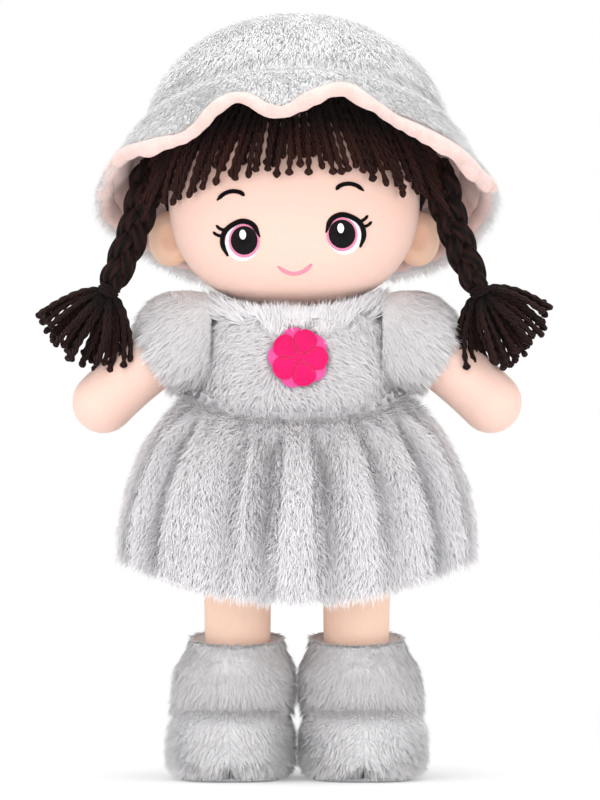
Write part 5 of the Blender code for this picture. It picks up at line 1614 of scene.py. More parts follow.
@dataclass
class PlushHat:
    """The hat: a round plush crown, a wavy plush brim turned up at the front, and a pink fleece lining."""

    tilt: float = math.radians(26.0)
    centre: tuple[float, float, float] = (0.0, 0.0080, 0.3350)
    crown_radius: float = 0.0785
    crown_height: float = 0.0612
    brim_width: float = 0.0270
    brim_drop: float = 0.0345
    flare_power: float = 0.85
    wave_out: float = 0.25
    edge_line: tuple = ((-180.0, 0.02), (-157.0, -0.08), (-125.0, 0.08), (-98.0, -0.03), (-74.0, -0.06),
                        (-57.0, -0.06), (-45.0, -0.15), (-36.0, -0.25), (-30.0, -0.16),
                        (-25.0, 0.03), (-20.0, 0.15),
                        (-16.0, 0.17), (-12.0, 0.10), (-8.0, -0.06), (-4.0, -0.11), (0.0, 0.0), (4.0, 0.13),
                        (9.0, 0.24), (13.5, 0.26), (18.0, 0.18), (23.0, 0.09), (29.0, -0.02), (41.0, -0.05),
                        (50.0, -0.09), (58.0, -0.16), (67.0, -0.19), (80.0, -0.08), (97.0, 0.05),
                        (130.0, -0.08),
                        (160.0, 0.08), (180.0, 0.02))
    brim_puff: float = 0.0026
    bare_turn: float = math.radians(57.0)
    bare_edge: float = 0.10
    seam_groove: float = 0.0022
    backing_sink: float = 0.0035
    lining_sink: float = 0.0062
    roll_radius: float = 0.0030
    roll_drop: float = 0.0014
    roll_inset: float = 0.0048
    inner_band: float = 0.10
    fleece_shows: tuple = ((-180.0, 1.0), (-75.0, 1.4), (-50.0, 2.1), (-36.0, 1.2), (-18.0, 1.7),
                           (-5.0, 0.95),
                           (12.0, 1.9), (27.0, 2.3), (45.0, 3.3), (64.0, 2.6), (95.0, 1.2), (180.0, 1.0))
    creased: float = 0.10
    top_share: float = 0.985
    base_lift: float = 0.0003
    inner_rise: float = 0.0013
    roll_part: float = 0.45
    roll_arc: tuple[float, float] = (20.0, 250.0)
    face_from: float = 0.085
    face_crease: float = 0.0013
    crown_pile: Pile = Pile(0.0090, 0.00034, math.radians(66.0), swirl=math.radians(12.0), gather=0.22,
                            per_square_mm=2.8)
    brim_pile: Pile = Pile(0.0084, 0.00034, math.radians(63.0), swirl=math.radians(12.0), gather=0.22,
                           per_square_mm=2.7)
    axis: Array = field(init=False)
    forward: Array = field(init=False)

    def __post_init__(self) -> None:
        """Works out the hat's axis and its level way forward."""
        self.axis = np.array((0.0, math.sin(self.tilt), math.cos(self.tilt)))
        self.forward = np.array((0.0, -math.cos(self.tilt), math.sin(self.tilt)))

    def flat(self, turn: Array) -> Array:
        """The way out from the axis at a turn."""
        return self.forward * np.cos(turn)[..., None] + SIDEWAYS * np.sin(turn)[..., None]

    def crown(self, u: Array, v: Array) -> Array:
        """A quarter ellipse turned about the axis: u once round, v from the seam to the top."""
        steep = QUARTER_TURN * v
        height = self.crown_height * np.sin(steep) + self.base_lift
        radius = self.crown_radius * np.cos(steep) - self.seam_groove * bell(v, 0.05)
        return (np.array(self.centre) + self.flat(u * FULL_TURN) * radius[..., None]
                + self.axis * height[..., None])

    def wave(self, turn: Array, share: Array) -> Array:
        """How far the brim lifts: a smooth curve through the edge's measured lifts, growing with the share.

        Args:
            turn: Turns from the front.
            share: How far out from the crown's seam, from 0 to 1.

        Returns:
            The lifts, as shares of the brim's drop.
        """
        line = flowing(np.pad(np.array(self.edge_line), ((0, 0), (0, 1))), 720)
        lift = np.interp((np.degrees(turn) + 180.0) % 360.0 - 180.0, line[:, 0], line[:, 1])
        return lift * np.maximum(share, 0.0) ** 1.5

    def brim(self, u: Array, v: Array) -> Array:
        """The brim: it flares, drops and waves.

        Args:
            u: Once round.
            v: From the edge (0) up to the crown's seam (1).

        Returns:
            The points.
        """
        turn, share = u * FULL_TURN, np.maximum(1.0 - v, 0.0)
        wave = self.wave(turn, share)
        radius = (self.crown_radius + self.brim_width * share**self.flare_power
                  + self.brim_drop * wave * self.wave_out)
        radius = radius + self.brim_puff * bell(share - 0.28, 0.16) - self.seam_groove * bell(share, 0.06)
        return (np.array(self.centre) + self.flat(turn) * radius[..., None]
                - self.axis * (self.brim_drop * (share - wave))[..., None])

    def ahead(self, u: Array) -> Array:
        """1 at the brim's front, falling to 0 at its sides and back."""
        return np.exp(-((((u + 0.5) % 1.0 - 0.5) * FULL_TURN / self.bare_turn) ** 4))

    def comb(self, points: Array) -> Array:
        """The pile runs down from the crown's top to the brim's edge, away from the axis."""
        away = points - np.array(self.centre)
        away = away - self.axis * (away @ self.axis)[:, None]
        return unit(away) * 0.8 - self.axis * 0.75

    def build(self) -> None:
        """Sews the crown, its lining and the brim, and lays the crown's pile."""
        cloth, piece = self.crown_layer("hat_crown_plush", self.backing_sink, PLUSH_BACKING, "hat_crown",
                                        CLOTH)
        for seed, name, start in ((101, "right", 0.0), (102, "left", 0.5)):
            half = self.crown_pile.on(lambda u, v, start=start: cloth(start + u * 0.5, v), self.comb, seed)
            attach(made(f"hat_crown_{name}_pile", half, LIT_HAT_PILE), "hat")
        laid_sheet(piece, cloth)
        cloth, piece = self.crown_layer("hat_crown_lining", self.lining_sink, LINING, "crown_lining", VELOUR)
        laid_sheet(piece, cloth)
        self.build_brim()

    def crown_layer(self, name: str, sink: float, finish: Finish, node: str,
                    thickness: float) -> tuple[Field, bpy.types.Object]:
        """One layer of the crown, closed at its top.

        Args:
            name: The layer's name.
            sink: How far it lies below the pile's surface.
            finish: Its cloth.
            node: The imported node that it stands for.
            thickness: The cloth's thickness.

        Returns:
            The layer as a surface and as a piece.
        """
        moved = shifted(self.crown, -sink)

        def cloth(u: Array, v: Array) -> Array:
            """The layer from the seam (v 0) to just short of the top (v 1)."""
            return moved(u, v * self.top_share)

        turn, v = rings(110, np.linspace(0.0, 1.0, 28))
        pole = np.array(self.centre) + self.axis * (self.crown_height + self.base_lift - sink)
        net = net_of(cloth(turn / FULL_TURN, v), True, None, pole)
        return cloth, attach(walled(made(name, net, finish, [node]), thickness), "hat")

    def build_brim(self) -> None:
        """The brim's plush, its pile, and the pink lining that rolls round its edge."""
        cloth = shifted(self.brim, -self.backing_sink)
        inner = shifted(lambda u, v: self.brim(1.0 - u, v), self.backing_sink + self.inner_rise)
        net = sheet_net(cloth, 240, 16)
        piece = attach(walled(made("hat_brim_plush", net, PLUSH_BACKING, ["hat_brim"])), "hat")

        def edged(u: Array, v: Array) -> Array:
            """The brim's cloth, which stops short of the edge in front, where the fleece rolls over it."""
            return cloth(u, v + (1.0 - v) * self.bare_edge * self.ahead(u))

        def beyond_roll(points: Array) -> Array:
            """Only where the edge shows beyond the roll, at the sides and behind."""
            away = points - np.array(self.centre)
            turn = np.arctan2(away[:, 0], away @ self.forward)
            return self.ahead(turn / FULL_TURN) < 0.6

        for seed, name, start in ((103, "right", 0.0), (104, "left", 0.5)):
            half = self.brim_pile.on(lambda u, v, start=start: edged(start + u * 0.5, v), self.comb, seed)
            band = self.brim_pile.on(lambda u, v, start=start: inner(start + u * 0.5, v * self.inner_band),
                                     self.comb, 107, beyond_roll)
            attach(made(f"hat_brim_{name}_pile", joined([half, band]), LIT_HAT_PILE), "hat")
        laid_sheet(piece, cloth)
        net = sheet_net(self.lining, 360, 36)
        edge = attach(walled(made("hat_brim_lining", net, LINING, ["brim_lining"]), VELOUR), "hat")
        laid_sheet(edge, self.lining)

    def lining(self, u: Array, v: Array) -> Array:
        """The fleece: a roll round the edge, a part of a circle, and then the face up to the crown's seam.

        The roll swells by three waves round the brim, is as tall as the table says, and creases by a slow
        wave. Along the face the fleece lies in soft creases too.

        Args:
            u: Once round.
            v: From the roll's outer end (0) up to the seam (1).

        Returns:
            The points.
        """
        turn, ahead = u * FULL_TURN, self.ahead(u)
        edge, outward, up_way = spread_of(self.brim, u, np.full(np.shape(u), 0.02))
        round_share = np.clip(v / self.roll_part, 0.0, 1.0)
        swell = (1.0 + 0.12 * np.sin(turn * 23.0 + 2.0 * np.sin(turn * 5.0)) + 0.16 * np.sin(turn * 7.0 + 1.0)
                 + 0.06 * np.sin(turn * 67.0 + 3.0 * np.sin(turn * 11.0)))
        radius = self.roll_radius * swell
        tall = eased_table(((u + 0.5) % 1.0 - 0.5) * 360.0, self.fleece_shows)
        crease = np.sin(turn * 38.0 + 6.0 * np.sin(turn * 5.0) + 3.0 * round_share)
        crease = crease * np.sin(round_share * math.pi) ** 2
        tall = tall * (1.0 + self.creased * (tall - 0.9) * crease)
        drop = self.roll_drop * ahead - self.roll_inset * (1.0 - ahead) + radius * (tall - 1.0)
        centre = edge - outward * (self.roll_radius + 0.0002) - up_way * drop[..., None]
        angle = np.radians(self.roll_arc[0] + self.roll_arc[1] * round_share)
        roll = (centre + outward * (np.cos(angle) * radius)[..., None]
                - up_way * (np.sin(angle) * radius * tall)[..., None])
        part = np.clip((v - self.roll_part) / (1.0 - self.roll_part), 0.0, 1.0)
        up_share = self.face_from + (1.0 - self.face_from) * part
        face, face_out, _ = spread_of(self.brim, u, np.minimum(up_share, 0.9999))
        crease = self.face_crease * np.sin(turn * 27.0 + 3.0 * np.sin(turn * 3.0) + 5.0 * part)
        crease = crease * np.sin(part * math.pi)
        face = face - face_out * (self.lining_sink + crease)[..., None]
        mix = eased(part / 0.16)[..., None]
        return roll * (1.0 - mix) + face * mix


@dataclass
class PlushDress:
    """The dress: bodice, gathered skirt and puffed sleeves in plush, with a felt flower on the chest."""

    bodice_size: tuple[float, float] = (0.0528, 0.0388)
    bodice_rise: float = 0.05645
    skirt_top: tuple[float, float] = (0.0525, 0.0385)
    skirt_hem: tuple[float, float] = (0.0940, 0.0750)
    skirt_length: float = 0.0970
    side_rise: float = 0.0220
    flare_share: float = 0.926
    flare_power: float = 0.56
    fold_depth: float = 0.0125
    ridge: float = 0.0015
    seam_dip: float = 0.0042
    seam_rise: float = 0.0080
    # How much each fold counts at each share down the skirt, for the pile's stand and its painted shade.
    fold_shade: tuple = ((0.0, 0.8), (0.30, 1.0), (0.65, 0.75), (1.0, 0.30))
    tucked_in: float = 0.035
    fold_run: tuple = ((0.0, 0.0), (0.16, 0.9), (0.45, 1.0), (1.0, 0.62))
    folds: tuple = ((-55.0, 6.0, 0.85), (-25.0, 5.0, 0.55), (-11.5, 3.6, 1.0), (11.5, 3.8, 0.95),
                    (33.0, 5.0, 0.6),
                    (54.0, 6.0, 0.8), (76.0, 7.0, 0.6), (98.0, 7.0, 0.8), (121.0, 7.0, 0.7),
                    (146.0, 6.0, 0.9),
                    (169.0, 6.0, 0.8), (-164.0, 6.0, 0.9), (-139.0, 7.0, 0.7), (-116.0, 7.0, 0.8),
                    (-95.0, 7.0, 0.7),
                    (-76.0, 7.0, 0.6))
    backing_sink: float = 0.0035
    sleeve_centre: tuple[float, float] = (0.0580, 0.2290)
    sleeve_size: tuple[float, float] = (0.0262, 0.0250)
    armhole: float = 0.0468
    cuff_way: tuple[float, float] = (0.0430, -0.0330)
    cuff_reach: float = 0.02096
    shoulder_rise: float = 0.0078
    oval: float = 2.3
    sleeve_fullness: float = 2.2
    sleeve_lifts: tuple[float, float] = (-54.0, 138.0)
    chin_room: float = 0.0045
    bodice_top: float = 0.97
    waist_reach: float = 0.006
    waist_draw: float = 0.0016
    pucker: float = 0.0010
    bodice_pile: Pile = Pile(length=0.0078, lean=math.radians(60.0))
    ruff_pile: Pile = Pile(length=0.0106, lean=math.radians(29.0), per_square_mm=2.6)
    skirt_pile: Pile = Pile(length=0.0090, lean=math.radians(63.0), swirl=math.radians(12.0), gather=0.35)
    sleeve_pile: Pile = Pile(length=0.0080)
    bodice: Form = field(init=False)
    shouldered: Form = field(init=False)
    trough: Form = field(init=False)
    flower: "FeltFlower" = field(init=False)

    def __post_init__(self) -> None:
        """Works out the bodice's form, the hollow that the chin rests in and the flower."""
        self.bodice = replace(TORSO, half_width=self.bodice_size[0], half_depth=self.bodice_size[1],
                              rise=self.bodice_rise)
        self.shouldered = replace(self.bodice, rise=self.bodice_rise + self.shoulder_rise)
        self.trough = replace(HEAD, half_width=HEAD.half_width + self.chin_room,
                              drop=HEAD.drop + self.chin_room)
        self.flower = FeltFlower(self.bodice)

    def build(self) -> None:
        """Sews the bodice, the skirt's two halves, the sleeves and the flower."""
        self.build_bodice()
        for name, side in SIDES.items():
            self.skirt_half(name, side)
            self.sleeve(name, side)
        self.flower.build()

    def bodice_field(self, u: Array, v: Array) -> Array:
        """The bodice from its waist (v 0) to under the head (v 1), lowered where the chin rests.

        A gather pulls the waist in, and soft puckers run up from it.

        Args:
            u: Once round.
            v: From the waist to just short of the pole.

        Returns:
            The points.
        """
        turn = u * FULL_TURN
        seam = self.waist(turn)
        low = np.arcsin(np.clip((seam - self.bodice.centre[2]) / self.bodice.drop, -1.0, 1.0))
        lift = low + (QUARTER_TURN * self.bodice_top - low) * v
        points = self.shouldered.turned(turn, lift, 0.0)
        near_waist = bell(points[..., 2] - seam, self.waist_reach)
        pucker = self.pucker * np.cos(turn * 26.0 + 2.0 * np.sin(turn * 3.0)) * near_waist
        inward = (self.waist_draw * near_waist - pucker)[..., None]
        points = points - unit(points * LEVEL) * inward
        points[..., 2] = np.minimum(points[..., 2], self.chin_floor(points[..., 0]))
        return points

    def chin_floor(self, x: Array) -> Array:
        """The height of the hollow under the chin at a distance to the side."""
        aside = np.clip(np.abs(x - self.trough.centre[0]) / self.trough.half_width, 0.0, 0.999)
        fullness = self.trough.round_fullness
        return self.trough.centre[2] - self.trough.drop * (1.0 - aside**fullness) ** (1.0 / fullness)

    def build_bodice(self) -> None:
        """The bodice's backing and pile, combed down and outwards."""
        cloth = shifted(self.bodice_field, -self.backing_sink)
        u, v = np.meshgrid(np.arange(100) / 100.0, np.linspace(0.0, 1.0, 30))
        pole = np.array((0.0, 0.0, self.bodice_field(np.array(0.0), np.array(1.0))[2] - self.backing_sink))
        net = net_of(cloth(u, v), True, None, pole)
        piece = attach(walled(made("dress_bodice_plush", net, PLUSH_BACKING, ["dress_bodice"])), "torso")
        flower = self.flower

        def kept(points: Array) -> Array:
            """Leaves out the roots under the flower and under the arms' holes."""
            away = np.hypot(points[:, 0] - flower.middle[0], points[:, 2] - flower.middle[1])
            armhole = np.hypot(points[:, 1], points[:, 2] - self.sleeve_centre[1])
            in_armhole = (np.abs(points[:, 0]) > 0.040) & (armhole < 0.014)
            return ~((away < flower.radius * 0.86) & (points[:, 1] < 0.0)) & ~in_armhole

        def comb(points: Array) -> Array:
            """Down, and away from the middle and from the flower."""
            away = points - np.array((flower.middle[0], points[:, 1].mean(), flower.middle[1]))
            near = bell(np.linalg.norm(away[:, (0, 2)], axis=-1), 0.022)[:, None] * (points[:, 1:2] < 0.0)
            return -UP + SIDEWAYS * points[:, :1] * 9.0 + unit(away * np.array((1.0, 0.0, 1.0))) * near * 2.5

        def under_chin(points: Array) -> Array:
            """Only the roots on the top and along its uneven edge, where the pile stands up to the chin."""
            edge = 0.0036 + 0.0034 * ripples(points, 0.011, 115)
            return points[:, 2] > self.chin_floor(points[:, 0]) - self.backing_sink - edge

        def seam_lift_and_shade(points: Array) -> Array:
            """How near each root lies to the waist's seam, where the pile stands up and is painted darker as
            shade.
            """
            return 0.5 * bell(points[:, 2] - WAIST + self.seam_dip * 0.6, 0.0035)

        net = self.bodice_pile.on(cloth, comb, 111, lambda points: kept(points) & ~under_chin(points),
                                  seam_lift_and_shade)
        # The ruff's pile lies flatter and is painted lighter near the middle, as painted light.
        ruff = self.ruff_pile.on(cloth, lambda points: unit(points * LEVEL) + UP, 113,
                                 lambda points: kept(points) & under_chin(points),
                                 lambda points: -1.25 * bell(points[:, 0], 0.028))
        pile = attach(made("dress_bodice_pile", joined([net, ruff]), PLUSH_PILE), "torso")
        laid_sheet(piece, cloth)

    def in_fold(self, turn: Array) -> Array:
        """How deep in a fold a turn lies: the greatest of their bell curves."""
        middle_turn, wide, deep = np.array(self.folds).T
        away = (np.degrees(turn)[..., None] - middle_turn + 180.0) % 360.0 - 180.0
        return (deep * bell(away, wide)).max(axis=-1)

    def waist(self, turn: Array) -> Array:
        """The seam's height: it hangs lower in front and higher at the sides, by fourth powers."""
        return WAIST - self.seam_dip * np.maximum(np.cos(turn), 0.0) ** 4 + self.seam_rise * np.sin(turn) ** 4

    def skirt(self, turn: Array, share: Array) -> Array:
        """The skirt from its waist (share 0) to its hem (share 1).

        It puffs out by a power of the sine of the share from one oval to a wider one, and is drawn in at
        the folds and let out a little between them. The hem is higher at the sides by the sine squared.

        Args:
            turn: Turns from the front.
            share: How far down, from 0 to 1.

        Returns:
            The points.
        """
        flare = np.sin(QUARTER_TURN * np.clip(share / self.flare_share, 0.0, 1.0)) ** self.flare_power
        wide = self.skirt_top[0] + (self.skirt_hem[0] - self.skirt_top[0]) * flare
        deep = self.skirt_top[1] + (self.skirt_hem[1] - self.skirt_top[1]) * flare
        drawn = (self.fold_depth * self.in_fold(turn) - self.ridge) * eased_table(share, self.fold_run)
        x, y = np.sin(turn), -np.cos(turn)
        flat = oval_size(x, y, self.oval)
        gather = 0.0008 * np.cos(turn * 30.0) * bell(share, 0.10)
        top = self.waist(turn) - 0.0002
        height = top - (self.skirt_length - WAIST + top - self.side_rise * np.sin(turn) ** 2) * share
        return points_at((wide - drawn + gather) * x / flat, (deep - drawn + gather) * y / flat, height)

    def skirt_half(self, name: str, side: float) -> None:
        """Half of the skirt.

        Args:
            name: Which side's.
            side: -1 for the left, 1 for the right.
        """

        def half(u: Array, v: Array) -> Array:
            """u from the middle of the back or front round one side, v from the hem up to the waist."""
            turn = side * math.pi * (u if side > 0.0 else 1.0 - u)
            return self.skirt(turn, (1.0 + self.tucked_in) * (1.0 - v) - self.tucked_in)

        cloth = shifted(half, -self.backing_sink)
        net = sheet_net(cloth, 120, 34, closed=False)
        piece = walled(made(f"{name}_skirt_plush", net, PLUSH_BACKING, ["dress_skirt"]))

        def fold_and_shade_of(points: Array) -> Array:
            """How deep in a fold each root lies; the pile there stands up and is painted darker as shade, and
            so is a band just below the waist.
            """
            wide, deep = self.skirt_hem
            across, ahead = points[:, 0] / wide, -points[:, 1] / deep
            down = (WAIST - points[:, 2]) / self.skirt_length
            shade = self.in_fold(np.arctan2(across, ahead)) * eased_table(down, self.fold_shade)
            # Painted shade in a band just below the waist, under the bodice's pile.
            return np.maximum(shade, 0.55 * bell(down, 0.045))

        net = self.skirt_pile.on(cloth, None, 121 + int(side), None, fold_and_shade_of)
        strands = made(f"{name}_skirt_pile", net, PLUSH_PILE)
        for part in (piece, strands):
            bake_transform(part)
        laid_sheet(piece, cloth)

    def sleeve(self, name: str, side: float) -> None:
        """A puffed sleeve: a round form cut flat at the armhole and at the cuff.

        Args:
            name: Which side's.
            side: -1 for the left, 1 for the right.
        """
        centre = np.array((side * self.sleeve_centre[0], 0.0, self.sleeve_centre[1]))
        wide, deep = self.sleeve_size
        form = Form(tuple(centre), wide, deep, wide, wide, self.sleeve_fullness, self.sleeve_fullness)
        way = unit(np.array((side * self.cuff_way[0], 0.0, self.cuff_way[1])))

        def puff(u: Array, v: Array) -> Array:
            """u once round the arm's way, v from the cuff (0) to the armhole (1), held between both cuts."""
            turn, lift = (1.0 - u) * FULL_TURN, np.radians(self.sleeve_lifts[0] + self.sleeve_lifts[1] * v)
            ring = AHEAD * np.cos(turn)[..., None] + unit(np.cross(way, AHEAD)) * np.sin(turn)[..., None]
            points = form.at(ring * np.cos(lift)[..., None] - way * np.sin(lift)[..., None])
            past = np.maximum((points - centre) @ way - self.cuff_reach, 0.0)
            points = points - way * past[..., None]
            inside = np.maximum(self.armhole - self.backing_sink + 0.0004 - points[..., 0] * side, 0.0)
            points = points + SIDEWAYS * (side * inside)[..., None]
            share = np.clip(((points - centre) @ way - 0.006) / self.cuff_reach, 0.0, 1.0)
            return points + ring * (0.0009 * np.cos(turn * 16.0) * share)[..., None]

        def comb(points: Array) -> Array:
            """Out from the armhole and down to the cuff."""
            return way + unit(points - centre) * 0.3 - UP * 0.25

        cloth = shifted(puff, -self.backing_sink)
        net = sheet_net(cloth, 110, 44)
        piece = walled(made(f"{name}_sleeve_plush", net, PLUSH_BACKING, [f"{name}_sleeve"]))
        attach(piece, f"{name}_arm")
        net = self.sleeve_pile.on(cloth, comb, 131 + int(side))
        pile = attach(made(f"{name}_sleeve_pile", net, SLEEVE_PILE), f"{name}_arm")
        laid_sheet(piece, cloth)


@dataclass
class FeltFlower:
    """The flower: two layers of five felt petals and a button, sewn to the bodice's front."""

    bodice: Form
    middle: tuple[float, float] = (0.0010, 0.2190)
    radius: float = 0.0160
    notch: float = 0.36
    upper_share: float = 0.95
    turn: float = math.radians(-2.0)
    layer: float = 0.0015
    button: float = 0.0026
    button_rise: float = 0.0011

    def petals(self, radius: float, turn: float, grow: float) -> Net:
        """Five petals: the edge's radius falls at five notches, and each petal is a low cushion.

        The dome is the square root of one less the edge share squared, lowered along each notch's line.

        Args:
            radius: The petals' reach.
            turn: Where the first petal points.
            grow: How far the layer lies off the bodice.

        Returns:
            The layer.
        """
        angle, share = rings(220, np.sin(np.linspace(0.03, 1.0, 22) * QUARTER_TURN))
        lobe = np.abs(np.cos(2.5 * (angle - turn)))
        edge = radius * (1.0 - self.notch + self.notch * lobe**0.55)
        x = self.middle[0] + edge * share * np.cos(angle)
        z = self.middle[1] + edge * share * np.sin(angle)
        groove = bell(lobe, 0.24) * np.clip(share * 3.0, 0.0, 1.0)
        hem = bell(share * (0.5 + 0.5 * lobe**0.3) - 0.86, 0.035) * (share < 0.97)
        rise = self.layer * (0.40 + dome(share) * (0.35 + 0.65 * share))
        rise = rise * (1.0 - 0.80 * groove) * (1.0 - 0.22 * hem)
        flat = self.bodice.front(x, z, grow)
        points = np.concatenate((flat + AHEAD * rise[..., None], flat[-1:]))
        return net_of(points, True, self.heart(grow) + AHEAD * self.layer * 0.6, turned=True)

    def heart(self, grow: float) -> Array:
        """The point at the flower's middle."""
        return self.bodice.front(np.array(self.middle[0]), np.array(self.middle[1]), grow)

    def build(self) -> None:
        """Both layers and the button."""
        under = self.petals(self.radius, self.turn + math.radians(36.0), 0.0)
        upper = self.petals(self.radius * self.upper_share, self.turn, self.layer)
        angle, share = rings(40, np.sin(np.linspace(0.05, 1.0, 12) * QUARTER_TURN))
        points = self.bodice.front(self.middle[0] + self.button * share * np.cos(angle),
                                   self.middle[1] + self.button * share * np.sin(angle),
                                   2.0 * self.layer + self.button_rise * dome(share) - 0.0003)
        button = net_of(points, True, self.heart(2.0 * self.layer + self.button_rise - 0.0003), turned=True)
        stuffed("flower_under", under, UNDER_PETAL, ["flower_back"], "torso")
        stuffed("flower_upper", upper, PETAL, ["flower_front"], "torso")
        stuffed("flower_middle", button, PETAL, ["flower_button"], "torso")


@dataclass
class PlushBoots:
    """The boots: a puffed shaft over a round padded foot, all in plush, on a felt sole."""

    top: tuple[float, float, float] = (0.0310, 0.0735, 0.0235)
    puff: tuple[float, float] = (0.0460, 0.0318)
    hem: tuple[float, float, float] = (0.0345, 0.0300, 0.0270)
    rim_dip: float = 0.0035
    rim_inside: float = 0.0218
    foot_centre: tuple[float, float, float] = (0.0345, -0.0080, 0.01925)
    foot_size: tuple[float, float, float] = (0.0330, 0.0415, 0.01925)
    foot_flat: float = 0.0023
    foot_fullness: float = 4.0
    tuck_height: float = 0.0100
    backing_sink: float = 0.0032
    seam_depth: float = 0.0012
    foot_lifts: tuple[float, float] = (-0.80, 0.97)
    sole_thickness: float = 0.0021
    sole_shares: tuple = (0.35, 0.75, 0.96, 1.0)
    shaft_pile: Pile = Pile(length=0.0074)
    rim_pile: Pile = Pile(length=0.0050, lean=math.radians(48.0), per_square_mm=3.0)
    foot_pile: Pile = Pile(length=0.0074, lean=math.radians(54.0))

    def build(self) -> None:
        """Both boots."""
        for name, side in SIDES.items():
            self.shaft(name, side)
            self.foot(name, side)

    def shaft(self, name: str, side: float) -> None:
        """The shaft: a profile turned about a leaning line, its rim rolled in to the leg.

        Args:
            name: Which side's.
            side: -1 for the left, 1 for the right.
        """
        wide, rim = self.puff[1], self.top[2]
        radii = ((0.0, self.hem[2]), (0.10, wide * 0.97), (0.33, wide), (0.56, wide * 0.965),
                 (0.86, rim + 0.0010), (0.93, rim - 0.0012), (1.0, self.rim_inside))
        rises = ((0.0, 0.0), (0.07, 0.09), (0.86, 0.97), (0.92, 1.0), (1.0, 0.955))

        def wall(u: Array, v: Array) -> Array:
            """v from the lower crease (0) over the puff to the rim (1): the radius follows an eased table."""
            turn = u * FULL_TURN
            radius = eased_table(v, radii)
            rise = np.where(v < 0.86, v / 0.86 * 0.97, eased_table(v, rises))
            height = self.hem[1] + (self.top[1] - self.hem[1]) * rise
            height = height - self.rim_dip * np.cos(turn) * v
            middle_x = side * (self.hem[0] + (self.top[0] - self.hem[0]) * v)
            return points_at(middle_x + radius * np.sin(turn), -radius * np.cos(turn), height)

        cloth = shifted(wall, -self.backing_sink)
        u, v = np.meshgrid(np.arange(120) / 120.0, np.linspace(0.0, 1.0, 36))
        outer = cloth(u, v)
        heart = outer[-1].mean(axis=0)
        net = net_of(outer, True, outer[0].mean(axis=0), heart - UP * 0.002)
        piece = stuffed(f"{name}_boot_shaft_plush", net, PLUSH_BACKING, [f"{name}_boot_shaft"],
                        f"{name}_leg")

        def comb(points: Array) -> Array:
            """Down and outwards from a point high on the front."""
            away = points - np.array((side * self.hem[0], 0.0, 0.0))
            front = bell(away[:, :1], 0.020) * (points[:, 1:2] < 0.0)
            return -UP + SIDEWAYS * away[:, :1] * (18.0 + 14.0 * front)

        def crease_lift_and_shade(points: Array) -> Array:
            """How near each root lies to the crease over the foot, where the pile stands up and is painted
            darker as shade.
            """
            return 0.6 * bell(points[:, 2] - self.hem[1] - 0.001, 0.0035)

        strands = self.shaft_pile.on(lambda a, b: cloth(a, 0.02 + 0.90 * b), comb, 141 + int(side), None,
                                     crease_lift_and_shade)
        leg = np.array((side * self.top[0], 0.0, 0.0))
        rim = self.rim_pile.on(lambda a, b: cloth(a, 0.88 + 0.12 * b),
                               lambda points: unit((points - leg) * LEVEL), 145 + int(side))
        carried(made(f"{name}_boot_shaft_pile_painted_shade", joined([strands, rim]), SHADED_SHAFT_PILE), piece)

    def foot(self, name: str, side: float) -> None:
        """The foot: a full round form, flat below, with a short seam down the toe.

        Args:
            name: Which side's.
            side: -1 for the left, 1 for the right.
        """
        centre = (side * self.foot_centre[0], *self.foot_centre[1:])
        wide, deep, tall = self.foot_size
        form = Form(centre, wide, deep, tall, tall, 2.5, self.foot_fullness)

        def seamed(points: Array) -> Array:
            """Flattens the bottom and draws the toe in along its middle seam."""
            near = bell(points[..., 0] - centre[0], 0.0022) * (points[..., 1] < centre[1])
            points = points + np.array((0.0, self.seam_depth, 0.0)) * near[..., None]
            points[..., 2] = np.maximum(points[..., 2], self.foot_flat)
            return points

        net = form.closed_net(120, 72, -self.backing_sink, seamed)
        piece = stuffed(f"{name}_boot_foot_plush", net, PLUSH_BACKING, [f"{name}_boot_foot"],
                        f"{name}_leg")

        def cloth(u: Array, v: Array) -> Array:
            """The foot's backing, without its poles: u once round, v upwards."""
            low, high = self.foot_lifts
            lift = QUARTER_TURN * (low + (high - low) * v)
            return seamed(form.turned(u * FULL_TURN, lift, -self.backing_sink))

        def comb(points: Array) -> Array:
            """Out and down from the instep, parted at the toe's seam, and tucked under near the floor."""
            away = points - np.array((centre[0], 0.006, 0.0))
            away[:, 2] = 0.0
            parted = np.sign(points[:, :1] - centre[0]) * np.exp(-(np.abs(points[:, :1] - centre[0]) / 0.006))
            tucked = 1.0 - 0.95 * np.clip(1.0 - points[:, 2:] / self.tuck_height, 0.0, 1.0)
            parted = parted * np.clip(points[:, 2:] / 0.016, 0.0, 1.0)
            return unit(away) * tucked + SIDEWAYS * parted * 0.8 - UP * 0.7

        def crease_lift_and_shade(points: Array) -> Array:
            """How near each root lies to the crease under the shaft, where the pile stands up and is painted
            darker as shade.
            """
            return 0.5 * bell(points[:, 2] - 0.0345, 0.003)

        strands = self.foot_pile.on(cloth, comb, 151 + int(side), lambda points: points[:, 2] > 0.0034,
                                    crease_lift_and_shade)
        strands.points[:, 2] = np.maximum(strands.points[:, 2], 0.0006)
        carried(made(f"{name}_boot_foot_pile_painted_light", strands, LIT_FOOT_PILE), piece)
        self.sole(name, form)

    def sole(self, name: str, form: Form) -> None:
        """The sole: a flat piece of felt, as wide as the foot low down.

        Args:
            name: Which side's.
            form: The foot's form.
        """
        angle, share = rings(80, np.array(self.sole_shares))
        middle_point = np.array((*form.centre[:2], 0.0))
        edge = form.around(angle, np.full(angle.shape, 0.0040), -self.backing_sink)
        bottom = middle_point + (edge - middle_point) * share[..., None]
        bottom[..., 2] = 0.0
        top = bottom + UP * self.sole_thickness
        bottom[-1] += UP * 0.0003
        rings_up = np.concatenate((bottom, top[::-1]))
        net = net_of(rings_up, True, middle_point, middle_point + UP * self.sole_thickness)
        stuffed(f"{name}_boot_sole_felt", net, SOLE_FELT, [f"{name}_boot_sole"], f"{name}_leg")


